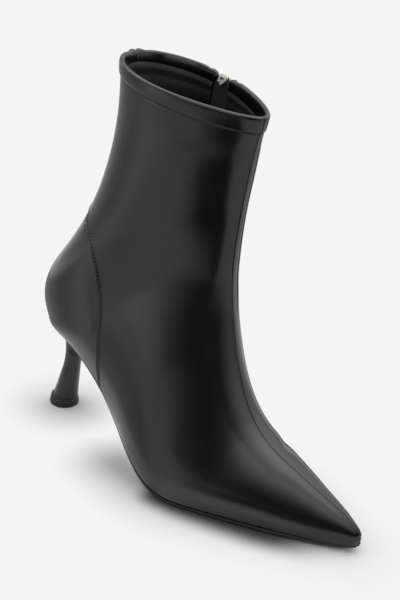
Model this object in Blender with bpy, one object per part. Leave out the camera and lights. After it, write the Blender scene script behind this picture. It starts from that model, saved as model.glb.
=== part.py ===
# Right stiletto ankle boot: hollow leather upper, collar band, side zip, insole, outsole and flared heel.
# Sizes below are millimetres. X runs forward from the heel tip, Y to the medial side, Z up from the floor.
import math

import bmesh
import bpy
import numpy as np
from mathutils import Matrix, Vector

MM = 0.001

# Walls, plies and the gap that pieces keep
GAP = 0.3
UPPER_WALL = 2.0
BAND_PROUD = 0.7
BAND_WALL = 3.0
INSOLE_THICK = 2.0
INSOLE_EASE = 0.8
SOLE_THICK = 2.5
SOLE_PROUD = 0.8
WAIST_TUCK = 2.0
TUCK_FROM_X = 105.0
TUCK_LENGTH = 35.0
SEAT_INSET = 0.5

# Sections of the upper, from the toe back along the feather line, then up the back seam to the collar.
# bottom_* lies on the feather line or back seam and top_* on the front seam. lateral and medial are the
# largest half widths, feather is the half width at the bottom as a share of those, wide_at is where between
# bottom and top the section is widest, ridge sharpens its top, and swing shifts its middle sideways.
SECTION_COLUMNS = (
    "bottom_x", "bottom_z", "top_x", "top_z", "lateral", "medial", "feather", "wide_at", "ridge", "swing",
)
FOOT_SECTIONS = (
    (210.5, 5.2, 210.0, 9.5, 0.0, 0.0, 1.00, 0.30, 0.00, 5.0),
    (210.0, 5.0, 209.6, 11.5, 2.1, 1.9, 0.97, 0.30, 0.00, 5.0),
    (208.0, 4.8, 207.6, 14.0, 4.1, 4.1, 0.95, 0.30, 0.02, 4.9),
    (204.0, 4.4, 203.2, 17.0, 6.3, 6.9, 0.95, 0.29, 0.05, 4.6),
    (196.0, 4.0, 195.0, 21.0, 9.7, 11.9, 0.95, 0.28, 0.08, 3.8),
    (184.0, 3.6, 183.5, 26.0, 13.8, 18.5, 0.95, 0.27, 0.10, 2.4),
    (168.0, 3.1, 170.0, 32.0, 18.9, 25.9, 0.95, 0.26, 0.11, 1.0),
    (149.0, 2.7, 156.2, 38.0, 25.2, 31.9, 0.95, 0.25, 0.11, 0.0),
    (130.0, 2.5, 144.0, 46.5, 31.5, 35.2, 0.95, 0.25, 0.12, -0.5),
    (112.0, 2.5, 135.4, 57.5, 37.0, 35.5, 0.93, 0.26, 0.13, -0.8),
    (95.0, 6.0, 129.0, 70.0, 38.4, 34.2, 0.88, 0.28, 0.14, -0.8),
    (78.0, 18.0, 123.7, 84.0, 37.3, 32.8, 0.82, 0.30, 0.16, -0.8),
    (61.0, 36.0, 119.8, 98.0, 35.4, 32.0, 0.78, 0.32, 0.17, -0.8),
    (44.0, 49.5, 117.3, 110.0, 33.2, 31.9, 0.77, 0.34, 0.18, -0.8),
    (27.0, 56.3, 116.0, 120.5, 31.8, 31.8, 0.71, 0.36, 0.18, -0.8),
    (11.0, 58.0, 115.5, 129.0, 30.8, 31.6, 0.59, 0.37, 0.19, -0.8),
    (-1.0, 58.2, 115.5, 136.0, 30.0, 31.4, 0.42, 0.38, 0.19, -0.8),
    (-6.8, 58.1, 115.5, 142.0, 29.7, 31.2, 0.22, 0.38, 0.19, -0.8),
    (-8.5, 58.0, 115.6, 147.0, 29.7, 31.0, 0.00, 0.38, 0.20, -0.8),
)
SHAFT_SECTIONS = (
    (-12.4, 68.0, 115.8, 152.0, 29.9, 30.7, 0.0, 0.39, 0.20, -0.8),
    (-12.2, 80.5, 116.1, 157.0, 30.3, 30.4, 0.0, 0.40, 0.21, -0.8),
    (-6.3, 94.0, 116.4, 162.0, 30.6, 30.3, 0.0, 0.41, 0.22, -0.9),
    (3.1, 107.5, 116.8, 167.0, 30.7, 30.2, 0.0, 0.42, 0.23, -1.0),
    (12.4, 121.0, 117.3, 172.0, 30.6, 30.1, 0.0, 0.43, 0.24, -1.1),
    (20.7, 135.0, 117.9, 177.0, 30.2, 29.9, 0.0, 0.44, 0.25, -1.3),
    (27.4, 150.0, 118.5, 182.0, 29.7, 29.5, 0.0, 0.44, 0.26, -1.5),
    (32.7, 166.0, 119.1, 187.0, 29.3, 29.1, 0.0, 0.44, 0.26, -1.8),
    (36.7, 183.0, 119.7, 192.0, 29.1, 28.7, 0.0, 0.44, 0.27, -2.1),
    (39.1, 202.0, 120.2, 196.6, 29.2, 28.5, 0.0, 0.43, 0.28, -2.4),
    (39.4, 219.3, 121.3, 203.0, 29.8, 28.6, 0.0, 0.43, 0.29, -2.8),
    (39.4, 226.0, 122.5, 211.0, 30.2, 28.8, 0.0, 0.43, 0.29, -3.0),
)
SECTIONS = np.array(FOOT_SECTIONS + SHAFT_SECTIONS)
HEEL_ROW = len(FOOT_SECTIONS) - 1
RIM_ROW = len(SECTIONS) - 1
BAND_ROW = RIM_ROW - 1

HEEL_SWING = SECTIONS[HEEL_ROW][SECTION_COLUMNS.index("swing")]

# Mesh steps: stations per table row, and columns up each side, closer together near the bottom
DENSE_TOE_ROWS = 3
STEPS_PER_ROW = 2
CLOSEST_ROWS = 0.1
SIDE_COLUMNS = 14
EDGE_CROWDING = 1.3
ARC_SAMPLES = 160
FEATHER_STEPS_PER_ROW = 8
FEATHER_SLOPE_STEP = 0.02
SHARP_ANGLE = 35.0
MERGE_DISTANCE = 0.0001

# Collar band: how far each line of it stands proud, from its foot to the rolled rim
COLLAR_PROFILE = (
    # rows above the foot, share of BAND_PROUD
    (0.0, 0.5), (0.12, 1.0), (0.5, 1.0), (0.88, 0.9), (1.0, 0.0),
)

# Side zip on the medial side: the line of its teeth in side view, upwards as (x, z)
ZIP_FOOT = (61.5, 48.0)
ZIP_HEAD = (77.5, 226.0)
ZIP_END_ROW = 12.5
ZIP_SLOT = 8.0
ZIP_BELOW_COLUMNS = 6
ZIP_SLOT_COLUMNS = 1
ZIP_FREE_SHARE = 0.40
ZIP_EASE_ROWS = 4.5
ZIP_STEP_ROWS = 0.05
ZIP_STEP_ACROSS = 0.5
TAPE_SINK = 0.6
TAPE_THICK = 1.2
TAPE_ABOVE_FOOT = 0.5
TAPE_BELOW_RIM = 5.5
LAST_COLUMN = 2 * SIDE_COLUMNS
SLOT_COLUMNS = range(
    LAST_COLUMN - ZIP_BELOW_COLUMNS - ZIP_SLOT_COLUMNS, LAST_COLUMN - ZIP_BELOW_COLUMNS,
)

# Slider and pull, in the zip's own frame: X across, Y up along the teeth, Z out of the boot
SLIDER_BELOW_RIM = 5.5
PLATE_THICK = 1.4
PLATE_OUTLINE = (
    # half_width, up
    (2.6, -4.5), (3.4, -1.5), (3.4, 2.8), (2.2, 4.5),
)
BRIDGE_WIDTH = 2.0
BRIDGE_LENGTH = 7.6
BRIDGE_ROOM = 1.8
BRIDGE_BAR = 1.2
BRIDGE_SINK = 0.6
PULL_THICK = 1.0
PULL_PIVOT_UP = -1.9
PULL_OUTLINE = (
    # half_width, up from the pivot
    (1.2, -26.0), (2.1, -25.2), (2.5, -23.8), (2.5, -12.0), (2.0, -10.2), (2.2, -8.6),
    (2.7, -7.0), (2.7, -1.0), (2.3, 0.2), (1.5, 0.5),
)
PULL_WINDOW = (
    # half_width, up from the pivot
    (1.0, -7.6), (1.6, -6.9), (1.6, -0.5),
)

# Heel: where its breast cuts the feather line, and its round sections from the tip joint up
BREAST_X = 24.0
TIP_HEIGHT = 6.0
TIP_FOOT_RADIUS = 9.1
TIP_HEAD_RADIUS = 8.1
TIP_FORWARD = 1.1
TIP_SEGMENTS = 40
CUP_FOOT = 38.0
CUP_FLARE = 3.0
CUP_STEPS = 7
HEEL_SECTIONS = (
    # height, forward, radius
    (TIP_HEIGHT + GAP, 2.1, 7.6),
    (10.0, 2.7, 7.2),
    (16.0, 3.8, 6.5),
    (23.0, 5.1, 5.8),
    (30.0, 6.3, 5.2),
    (CUP_FOOT, 7.4, 5.3),
)
BREAST_POINTS = 6


def spline_through(rows):
    """Reads a natural cubic spline through table rows that lie one apart."""
    count = len(rows)
    matrix = np.eye(count)
    right = np.zeros_like(rows)
    for i in range(1, count - 1):
        matrix[i, i - 1:i + 2] = (1, 4, 1)
        right[i] = 6 * (rows[i - 1] - 2 * rows[i] + rows[i + 1])
    bends = np.linalg.solve(matrix, right)

    def at(t):
        i = min(max(int(math.floor(t)), 0), count - 2)
        b = t - i
        a = 1 - b
        straight = a * rows[i] + b * rows[i + 1]
        return straight + ((a ** 3 - a) * bends[i] + (b ** 3 - b) * bends[i + 1]) / 6

    return at


WHOLE_SPLINE = spline_through(SECTIONS)
FOOT_SPLINE = spline_through(SECTIONS[:HEEL_ROW + 1])
SHAFT_SPLINE = spline_through(SECTIONS[HEEL_ROW:])
FEATHER_STATIONS = np.linspace(HEEL_ROW, 0, FEATHER_STEPS_PER_ROW * HEEL_ROW + 1)
FEATHER_LINE = np.array([FOOT_SPLINE(t)[:2] for t in FEATHER_STATIONS])


def eased(share):
    """A share from 0 to 1, with no corner at either end."""
    share = np.clip(share, 0, 1)
    return share * share * (3 - 2 * share)


def section_at(t):
    """The table's columns at station t. The bottom line turns a corner at the heel row."""
    row = dict(zip(SECTION_COLUMNS, WHOLE_SPLINE(t)))
    foot = t < HEEL_ROW
    edge = dict(zip(SECTION_COLUMNS, FOOT_SPLINE(t) if foot else SHAFT_SPLINE(t - HEEL_ROW)))
    row["bottom_x"] = edge["bottom_x"]
    row["bottom_z"] = edge["bottom_z"]
    row["feather"] = min(max(edge["feather"], 0.0), 1.0) if foot else 0.0
    return row


def half_section(t, side):
    """Points up one side of the section at station t, bottom to top, with side -1 lateral or 1 medial."""
    row = section_at(t)
    widest = max(row["lateral"] if side < 0 else row["medial"], 0.0)
    s = (1 - np.cos(np.linspace(0, math.pi, ARC_SAMPLES + 1))) / 2
    wide_at = row["wide_at"]
    low = widest ** 2 * (1 - row["feather"] ** 2) / wide_at ** 2
    high = widest ** 2 / (1 - wide_at) ** 2
    width = np.sqrt(np.maximum(widest ** 2 - (s - wide_at) ** 2 * (low + (high - low) * eased(s)), 0))
    width *= 1 - row["ridge"] * np.clip((s - wide_at) / (1 - wide_at), 0, 1) ** 2
    x = row["bottom_x"] + s * (row["top_x"] - row["bottom_x"])
    z = row["bottom_z"] + s * (row["top_z"] - row["bottom_z"])
    return np.stack([x, row["swing"] + side * width, z], axis=1)


def arc_lengths(points):
    return np.concatenate([[0], np.cumsum(np.linalg.norm(np.diff(points, axis=0), axis=1))])


def at_arcs(points, arcs):
    lengths = arc_lengths(points)
    return np.stack([np.interp(arcs, lengths, points[:, axis]) for axis in range(3)], axis=1)


def zip_arcs(t):
    """Arc lengths from the section's bottom to the slot's two edges, at station t on the medial side."""
    t = max(t, ZIP_END_ROW)
    row = section_at(t)
    bottom = np.array([row["bottom_x"], row["bottom_z"]])
    along = np.array([row["top_x"], row["top_z"]]) - bottom
    foot = np.array(ZIP_FOOT)
    up = np.array(ZIP_HEAD) - foot
    s = np.linalg.solve(np.stack([along, -up], axis=1), foot - bottom)[0]
    points = half_section(t, 1)
    place = bottom[0] + s * along[0]
    middle = np.interp(place, points[:, 0], arc_lengths(points))
    crossing = abs(along[0] * up[1] - along[1] * up[0])
    half = ZIP_SLOT / 2 * np.linalg.norm(along) * np.linalg.norm(up) / crossing
    return middle - half, middle + half


def column_arcs(t, side, total):
    if side < 0:
        return total * np.linspace(0, 1, SIDE_COLUMNS + 1) ** EDGE_CROWDING
    low, high = zip_arcs(t)
    ease = eased((t - ZIP_END_ROW) / ZIP_EASE_ROWS + 1)
    low = ease * low + (1 - ease) * ZIP_FREE_SHARE * total
    high = ease * high + (1 - ease) * (ZIP_FREE_SHARE + ZIP_SLOT_COLUMNS / SIDE_COLUMNS) * total
    below = low * np.linspace(0, 1, ZIP_BELOW_COLUMNS + 1) ** EDGE_CROWDING
    slot = np.linspace(low, high, ZIP_SLOT_COLUMNS + 1)
    above = np.linspace(high, total, SIDE_COLUMNS - ZIP_BELOW_COLUMNS - ZIP_SLOT_COLUMNS + 1)
    return np.concatenate([below, slot[1:], above[1:]])


def ring(t):
    """One row of surface points: up the lateral side, over the top and down the medial side."""
    sides = []
    for side in (-1, 1):
        points = half_section(t, side)
        sides.append(at_arcs(points, column_arcs(t, side, arc_lengths(points)[-1])))
    return np.concatenate([sides[0], sides[1][::-1][1:]])


def stations(first, last):
    steps = []
    for row in range(RIM_ROW):
        count = 1 if row < DENSE_TOE_ROWS else STEPS_PER_ROW
        steps += [row + k / count for k in range(count)]
    inner = [t for t in steps if first + CLOSEST_ROWS < t < last - CLOSEST_ROWS]
    return [first] + inner + [last]


def feather_z(x):
    return float(np.interp(x, FEATHER_LINE[:, 0], FEATHER_LINE[:, 1]))


def below_feather(x, depth):
    """A point depth under the feather line, square to it, in side view. A negative depth is above it."""
    slope = (feather_z(x + 1) - feather_z(x - 1)) / 2
    length = math.hypot(1, slope)
    return x + depth * slope / length, feather_z(x) - depth / length


def shell(rows, outs, wall):
    """Vertices and faces of a wall along the section surface, open at its rims and at the zip.

    outs gives each station's offset out of the surface, and wall the thickness inwards from there.
    """
    count = len(rows)
    index = np.zeros((count, LAST_COLUMN + 1), int)
    points = []
    for i, t in enumerate(rows):
        for k, point in enumerate(ring(t)):
            if t == 0 and k > SIDE_COLUMNS:
                index[i, k] = index[i, LAST_COLUMN - k]
            elif t >= HEEL_ROW and k == LAST_COLUMN:
                index[i, k] = index[i, 0]
            else:
                index[i, k] = len(points)
                points.append(point)
    points = np.array(points)
    quads = []
    open_quads = []
    for i in range(count - 1):
        for k in range(LAST_COLUMN):
            quad = (index[i, k], index[i + 1, k], index[i + 1, k + 1], index[i, k + 1])
            at_zip = k in SLOT_COLUMNS and rows[i] >= ZIP_END_ROW
            (open_quads if at_zip else quads).append(quad)
    normals = np.zeros_like(points)
    for quad in quads + open_quads:
        a, b, c, d = points[list(quad)]
        normals[list(quad)] += np.cross(d - b, c - a)
    normals /= np.linalg.norm(normals, axis=1)[:, None]
    outer = points.copy()
    inner = points.copy()
    for i, t in enumerate(rows):
        row = section_at(t)
        plane = np.cross([row["top_x"] - row["bottom_x"], 0, row["top_z"] - row["bottom_z"]], [0, 1, 0])
        plane /= np.linalg.norm(plane)
        for k in range(LAST_COLUMN + 1):
            v = index[i, k]
            if t <= HEEL_ROW and k in (0, LAST_COLUMN):
                inner[v, :2] = feather_edge(t, 1 if k else -1, -wall)
                inner[v, 2] = feather_z(inner[v, 0])
                continue
            normal = normals[v]
            if i in (0, count - 1) and t > 0:
                normal = normal - plane * (normal @ plane)
                normal /= np.linalg.norm(normal)
            outer[v] = points[v] + outs[i] * normal
            inner[v] = points[v] + (outs[i] - wall) * normal
    sides = {}
    for quad in quads:
        for a, b in zip(quad, quad[1:] + quad[:1]):
            if a != b:
                sides[(a, b)] = True
    total = len(points)
    faces = list(quads)
    faces += [tuple(v + total for v in quad[::-1]) for quad in quads]
    faces += [(b, a, a + total, b + total) for a, b in sides if (b, a) not in sides]
    return np.concatenate([outer, inner]), faces


def feather_edge(t, side, out):
    """The feather line moved sideways by out, as (x, y), at station t."""
    if t <= 0 or t >= HEEL_ROW:
        normal = np.array([1.0 if t <= 0 else -1.0, 0.0])
    else:
        ends = [max(t - FEATHER_SLOPE_STEP, 0), min(t + FEATHER_SLOPE_STEP, HEEL_ROW)]
        run = half_section(ends[1], side)[0] - half_section(ends[0], side)[0]
        normal = np.array([run[1], -run[0]])
        normal *= side * np.sign(normal[1]) / np.linalg.norm(normal)
    return half_section(t, side)[0][:2] + out * normal


def station_at_x(x):
    return float(np.interp(x, FEATHER_LINE[:, 0], FEATHER_STATIONS))


def ply(rows, outs, top_depth, bottom_depth):
    """A layer under or over the feather line, its edge moved out at each station, between two depths."""
    points = []
    for t, out in zip(rows, outs):
        for depth in (top_depth, bottom_depth):
            for side in (-1, 1):
                x, y = feather_edge(t, side, out)
                px, pz = below_feather(x, depth)
                points.append((px, y, max(pz, 0.0)))
    faces = [(0, 2, 3, 1)]
    for i in range(len(rows) - 1):
        a, b = 4 * i, 4 * i + 4
        faces += [(a, a + 1, b + 1, b), (a + 2, b + 2, b + 3, a + 3)]
        faces += [(a, b, b + 2, a + 2), (a + 1, a + 3, b + 3, b + 1)]
    end = 4 * (len(rows) - 1)
    faces.append((end, end + 1, end + 3, end + 2))
    return np.array(points), faces


def add_object(name, points, faces, material, parent, origin=(0, 0, 0)):
    mesh = bpy.data.meshes.new(name)
    shape = bmesh.new()
    verts = [shape.verts.new((np.array(point) - origin) * MM) for point in points]
    for face in faces:
        corners = []
        for v in face:
            if verts[v] not in corners:
                corners.append(verts[v])
        if len(corners) > 2:
            shape.faces.new(corners)
    bmesh.ops.remove_doubles(shape, verts=shape.verts, dist=MERGE_DISTANCE * MM)
    bmesh.ops.recalc_face_normals(shape, faces=shape.faces)
    shape.to_mesh(mesh)
    shape.free()
    mesh.shade_smooth()
    mesh.set_sharp_from_angle(angle=math.radians(SHARP_ANGLE))
    obj = bpy.data.objects.new(name, mesh)
    obj.data.materials.append(material)
    obj.location = Vector(origin) * MM
    obj.parent = parent
    bpy.context.scene.collection.objects.link(obj)
    return obj


def new_material(name, color, roughness, metallic=0.0):
    material = bpy.data.materials.new(name)
    material.use_nodes = True
    shader = material.node_tree.nodes["Principled BSDF"]
    shader.inputs["Base Color"].default_value = (*color, 1)
    shader.inputs["Roughness"].default_value = roughness
    shader.inputs["Metallic"].default_value = metallic
    return material


def make_upper(material, root):
    row_height = np.linalg.norm(ring(BAND_ROW) - ring(BAND_ROW - 1), axis=1).min()
    rows = stations(0, BAND_ROW - GAP / row_height)
    points, faces = shell(rows, np.zeros(len(rows)), UPPER_WALL)
    return add_object("upper", points, faces, material, root)


def make_collar_band(material, root):
    rows = [BAND_ROW + above for above, share in COLLAR_PROFILE]
    outs = [BAND_PROUD * share for above, share in COLLAR_PROFILE]
    points, faces = shell(rows, outs, BAND_WALL)
    return add_object("collar_band", points, faces, material, root)


def zip_point(t, across):
    """Point and outward normal on the section surface at the zip, across millimetres from its teeth."""
    def place(u, shift):
        low, high = zip_arcs(u)
        stretch = (high - low) / ZIP_SLOT
        points = half_section(u, 1)
        return at_arcs(points, [(low + high) / 2 + shift * stretch])[0]
    middle = place(t, across)
    along = place(t + ZIP_STEP_ROWS, across) - place(t - ZIP_STEP_ROWS, across)
    normal = np.cross(along, place(t, across + ZIP_STEP_ACROSS) - middle)
    normal /= np.linalg.norm(normal)
    return middle, normal * np.sign(normal[1])


def zip_rows(t, length):
    """How many table rows a length along the teeth spans, in the row that starts at station t."""
    return length / np.linalg.norm(zip_point(t + 1, 0)[0] - zip_point(t, 0)[0])


def make_zip_tape(material, root):
    start = ZIP_END_ROW + zip_rows(ZIP_END_ROW, TAPE_ABOVE_FOOT)
    end = RIM_ROW - zip_rows(BAND_ROW, TAPE_BELOW_RIM)
    rows = stations(start, end)
    half = ZIP_SLOT / 2 - GAP
    points = []
    for t in rows:
        for across in (-half, 0, half):
            place, normal = zip_point(t, across)
            points.append(place - TAPE_SINK * normal)
            points.append(place - (TAPE_SINK + TAPE_THICK) * normal)
    faces = []
    for i in range(len(rows) - 1):
        a, b = 6 * i, 6 * i + 6
        for k in (0, 2):
            faces.append((a + k, b + k, b + k + 2, a + k + 2))
            faces.append((a + k + 1, a + k + 3, b + k + 3, b + k + 1))
        faces += [(a, a + 1, b + 1, b), (a + 4, b + 4, b + 5, a + 5)]
    end = 6 * (len(rows) - 1)
    for a in (0, end):
        faces += [(a, a + 2, a + 3, a + 1), (a + 2, a + 4, a + 5, a + 3)]
    return add_object("zip_tape", np.array(points), faces, material, root)


def mirrored(half_outline):
    """A closed outline from its right half, given upwards as (half_width, up)."""
    return list(half_outline) + [(-width, up) for width, up in reversed(half_outline)]


def prism(outline, low, high, plane):
    """A straight solid: an outline in two of the axes, pulled along the third from low to high."""
    points = []
    for level in (low, high):
        for u, v in outline:
            point = [level] * 3
            point[plane[0]] = u
            point[plane[1]] = v
            points.append(point)
    size = len(outline)
    faces = [tuple(range(size)), tuple(range(size, 2 * size))]
    for k in range(size):
        after = (k + 1) % size
        faces.append((k, after, after + size, k + size))
    return np.array(points), faces


def combine(target, operation, solid, material, root):
    """Adds or cuts a hidden helper solid that lies in the target's own frame."""
    helper = add_object(target.name + "_helper", *solid, material, root)
    helper.matrix_basis = target.matrix_basis
    helper.hide_render = True
    helper.display_type = "WIRE"
    boolean = target.modifiers.new(operation.lower(), "BOOLEAN")
    boolean.operation = operation
    boolean.object = helper


def zip_frame():
    """Place and turn of the slider's frame, on the tape's outer face just under the rim."""
    t = RIM_ROW - zip_rows(BAND_ROW, SLIDER_BELOW_RIM)
    place, out = zip_point(t, 0)
    up = zip_point(t + ZIP_STEP_ROWS, 0)[0] - zip_point(t - ZIP_STEP_ROWS, 0)[0]
    up -= out * (up @ out)
    up /= np.linalg.norm(up)
    across = np.cross(up, out)
    place = place - TAPE_SINK * out
    turn = Matrix([Vector(axis) for axis in (across, up, out)]).transposed().to_4x4()
    return Matrix.Translation(Vector(place) * MM) @ turn


def make_zip_slider(material, root):
    plate_top = GAP + PLATE_THICK
    foot = plate_top - BRIDGE_SINK
    under = plate_top + BRIDGE_ROOM
    top = under + BRIDGE_BAR
    half = BRIDGE_LENGTH / 2
    plate = prism(mirrored(PLATE_OUTLINE), GAP, plate_top, (0, 1))
    slider = add_object("zip_slider", *plate, material, root)
    slider.matrix_basis = zip_frame()
    arch = [(half, foot), (half, top - BRIDGE_BAR), (half - BRIDGE_BAR, top)]
    arch += [(-up, out) for up, out in reversed(arch)]
    room = [(BRIDGE_BAR - half, foot), (BRIDGE_BAR - half, under)]
    arch += room + [(-up, out) for up, out in reversed(room)]
    bridge = prism(arch, -BRIDGE_WIDTH / 2, BRIDGE_WIDTH / 2, (1, 2))
    combine(slider, "UNION", bridge, material, root)
    return slider


def make_zip_pull(material, root):
    pivot = Vector((0, PULL_PIVOT_UP, GAP + PLATE_THICK + BRIDGE_ROOM / 2))
    plate = prism(mirrored(PULL_OUTLINE), -PULL_THICK / 2, PULL_THICK / 2, (0, 1))
    pull = add_object("zip_pull", *plate, material, root)
    pull.matrix_basis = zip_frame() @ Matrix.Translation(pivot * MM)
    window = prism(mirrored(PULL_WINDOW), -PULL_THICK, PULL_THICK, (0, 1))
    combine(pull, "DIFFERENCE", window, material, root)
    return pull


def make_insole(material, root):
    rows = stations(0, HEEL_ROW)
    outs = [-(UPPER_WALL + INSOLE_EASE)] * len(rows)
    points, faces = ply(rows, outs, -INSOLE_THICK, 0.0)
    return add_object("insole", points, faces, material, root)


def make_outsole(material, root):
    rows = stations(0, station_at_x(BREAST_X + GAP))
    outs = []
    for t in rows:
        tuck = (TUCK_FROM_X - section_at(t)["bottom_x"]) / TUCK_LENGTH
        outs.append(SOLE_PROUD - WAIST_TUCK * min(max(tuck, 0.0), 1.0))
    points, faces = ply(rows, outs, GAP, GAP + SOLE_THICK)
    return add_object("outsole", points, faces, material, root)


def heel_outline():
    """The heel seat's outline on the feather line: lateral breast, round the back, medial breast, breast."""
    rows = stations(station_at_x(BREAST_X), HEEL_ROW)
    sides = []
    for side in (-1, 1):
        edge = [feather_edge(t, side, -SEAT_INSET) for t in rows]
        sides.append([(x, y, feather_z(x) - GAP) for x, y in edge])
    lateral, medial = sides
    breast = []
    for k in range(1, BREAST_POINTS):
        share = k / BREAST_POINTS
        breast.append(tuple((1 - share) * np.array(medial[0]) + share * np.array(lateral[0])))
    return lateral + medial[-2::-1] + breast, len(rows)


def make_heel(material, root):
    outline, count = heel_outline()
    cup_forward = HEEL_SECTIONS[-1][1]
    angles = [math.atan2(y - HEEL_SWING, x - cup_forward) for x, y, z in outline]
    levels = []
    for height, forward, radius in HEEL_SECTIONS:
        level = []
        for angle in angles:
            level.append((forward + radius * math.cos(angle), HEEL_SWING + radius * math.sin(angle), height))
        levels.append(level)
    neck = levels[-1]
    for step in range(1, CUP_STEPS + 1):
        share = step / CUP_STEPS
        flare = share ** CUP_FLARE
        level = []
        for (x, y, z), (neck_x, neck_y, neck_z) in zip(outline, neck):
            level.append((
                neck_x + flare * (x - neck_x), neck_y + flare * (y - neck_y), neck_z + share * (z - neck_z),
            ))
        levels.append(level)
    points = np.array([point for level in levels for point in level])
    size = len(outline)
    faces = [tuple(range(size))]
    for i in range(len(levels) - 1):
        for k in range(size):
            a, b = i * size + k, i * size + (k + 1) % size
            faces.append((a, b, b + size, a + size))
    top = (len(levels) - 1) * size
    last = 2 * count - 2
    for k in range(count - 1):
        faces.append((top + k, top + k + 1, top + last - k - 1, top + last - k))
    faces.append((top, *range(top + last, top + size)))
    return add_object("heel", points, faces, material, root)


def make_heel_tip(material, root):
    tip = add_object("heel_tip", [], [], material, root, (TIP_FORWARD, HEEL_SWING, 0))
    shape = bmesh.new()
    bmesh.ops.create_cone(
        shape, cap_ends=True, segments=TIP_SEGMENTS, radius1=TIP_FOOT_RADIUS * MM, radius2=TIP_HEAD_RADIUS * MM,
        depth=TIP_HEIGHT * MM, matrix=Matrix.Translation((0, 0, TIP_HEIGHT / 2 * MM)),
    )
    shape.to_mesh(tip.data)
    shape.free()
    return tip


def centre_on_floor(root):
    """Moves the root so that the object's box stands on the origin by the middle of its base."""
    bpy.context.view_layer.update()
    corners = []
    for obj in bpy.context.scene.objects:
        if obj.type == "MESH" and not obj.hide_render:
            corners += [obj.matrix_world @ vertex.co for vertex in obj.data.vertices]
    corners = np.array(corners)
    low, high = corners.min(axis=0), corners.max(axis=0)
    root.location = (-(low[0] + high[0]) / 2, -(low[1] + high[1]) / 2, -low[2])


def main():
    for obj in list(bpy.data.objects):
        bpy.data.objects.remove(obj)
    leather = (0.012, 0.012, 0.013)
    root = bpy.data.objects.new("boot", None)
    bpy.context.scene.collection.objects.link(root)
    make_upper(new_material("upper_leather", leather, 0.32), root)
    make_collar_band(new_material("collar_leather", leather, 0.36), root)
    make_zip_tape(new_material("zip_tape_cloth", (0.01, 0.01, 0.01), 0.8), root)
    make_zip_slider(new_material("zip_slider_metal", (0.62, 0.60, 0.57), 0.28, 1.0), root)
    make_zip_pull(new_material("zip_pull_metal", (0.66, 0.64, 0.61), 0.25, 1.0), root)
    make_insole(new_material("insole_sock", (0.014, 0.013, 0.013), 0.6), root)
    make_outsole(new_material("outsole_black", (0.01, 0.01, 0.01), 0.55), root)
    make_heel(new_material("heel_cover", leather, 0.38), root)
    make_heel_tip(new_material("heel_tip_rubber", (0.008, 0.008, 0.008), 0.7), root)
    centre_on_floor(root)


main()
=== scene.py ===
import math

import bpy
import numpy as np
from mathutils import Matrix, Vector


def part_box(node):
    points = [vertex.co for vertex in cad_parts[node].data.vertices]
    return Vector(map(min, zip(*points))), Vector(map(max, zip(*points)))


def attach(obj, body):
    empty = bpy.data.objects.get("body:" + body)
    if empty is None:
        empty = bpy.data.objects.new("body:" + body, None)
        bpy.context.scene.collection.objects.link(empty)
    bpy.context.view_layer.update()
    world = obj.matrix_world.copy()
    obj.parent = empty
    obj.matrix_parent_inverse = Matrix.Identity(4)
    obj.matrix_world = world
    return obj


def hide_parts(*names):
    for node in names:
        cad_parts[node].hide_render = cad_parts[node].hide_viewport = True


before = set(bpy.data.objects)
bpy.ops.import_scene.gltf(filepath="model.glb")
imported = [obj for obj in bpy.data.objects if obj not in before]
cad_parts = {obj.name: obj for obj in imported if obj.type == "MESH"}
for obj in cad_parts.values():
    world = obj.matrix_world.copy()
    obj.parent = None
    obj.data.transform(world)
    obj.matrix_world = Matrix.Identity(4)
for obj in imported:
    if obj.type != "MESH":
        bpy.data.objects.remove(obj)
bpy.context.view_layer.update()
mm = 0.001
print("frame loaded:", ", ".join(sorted(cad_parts)))

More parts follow.
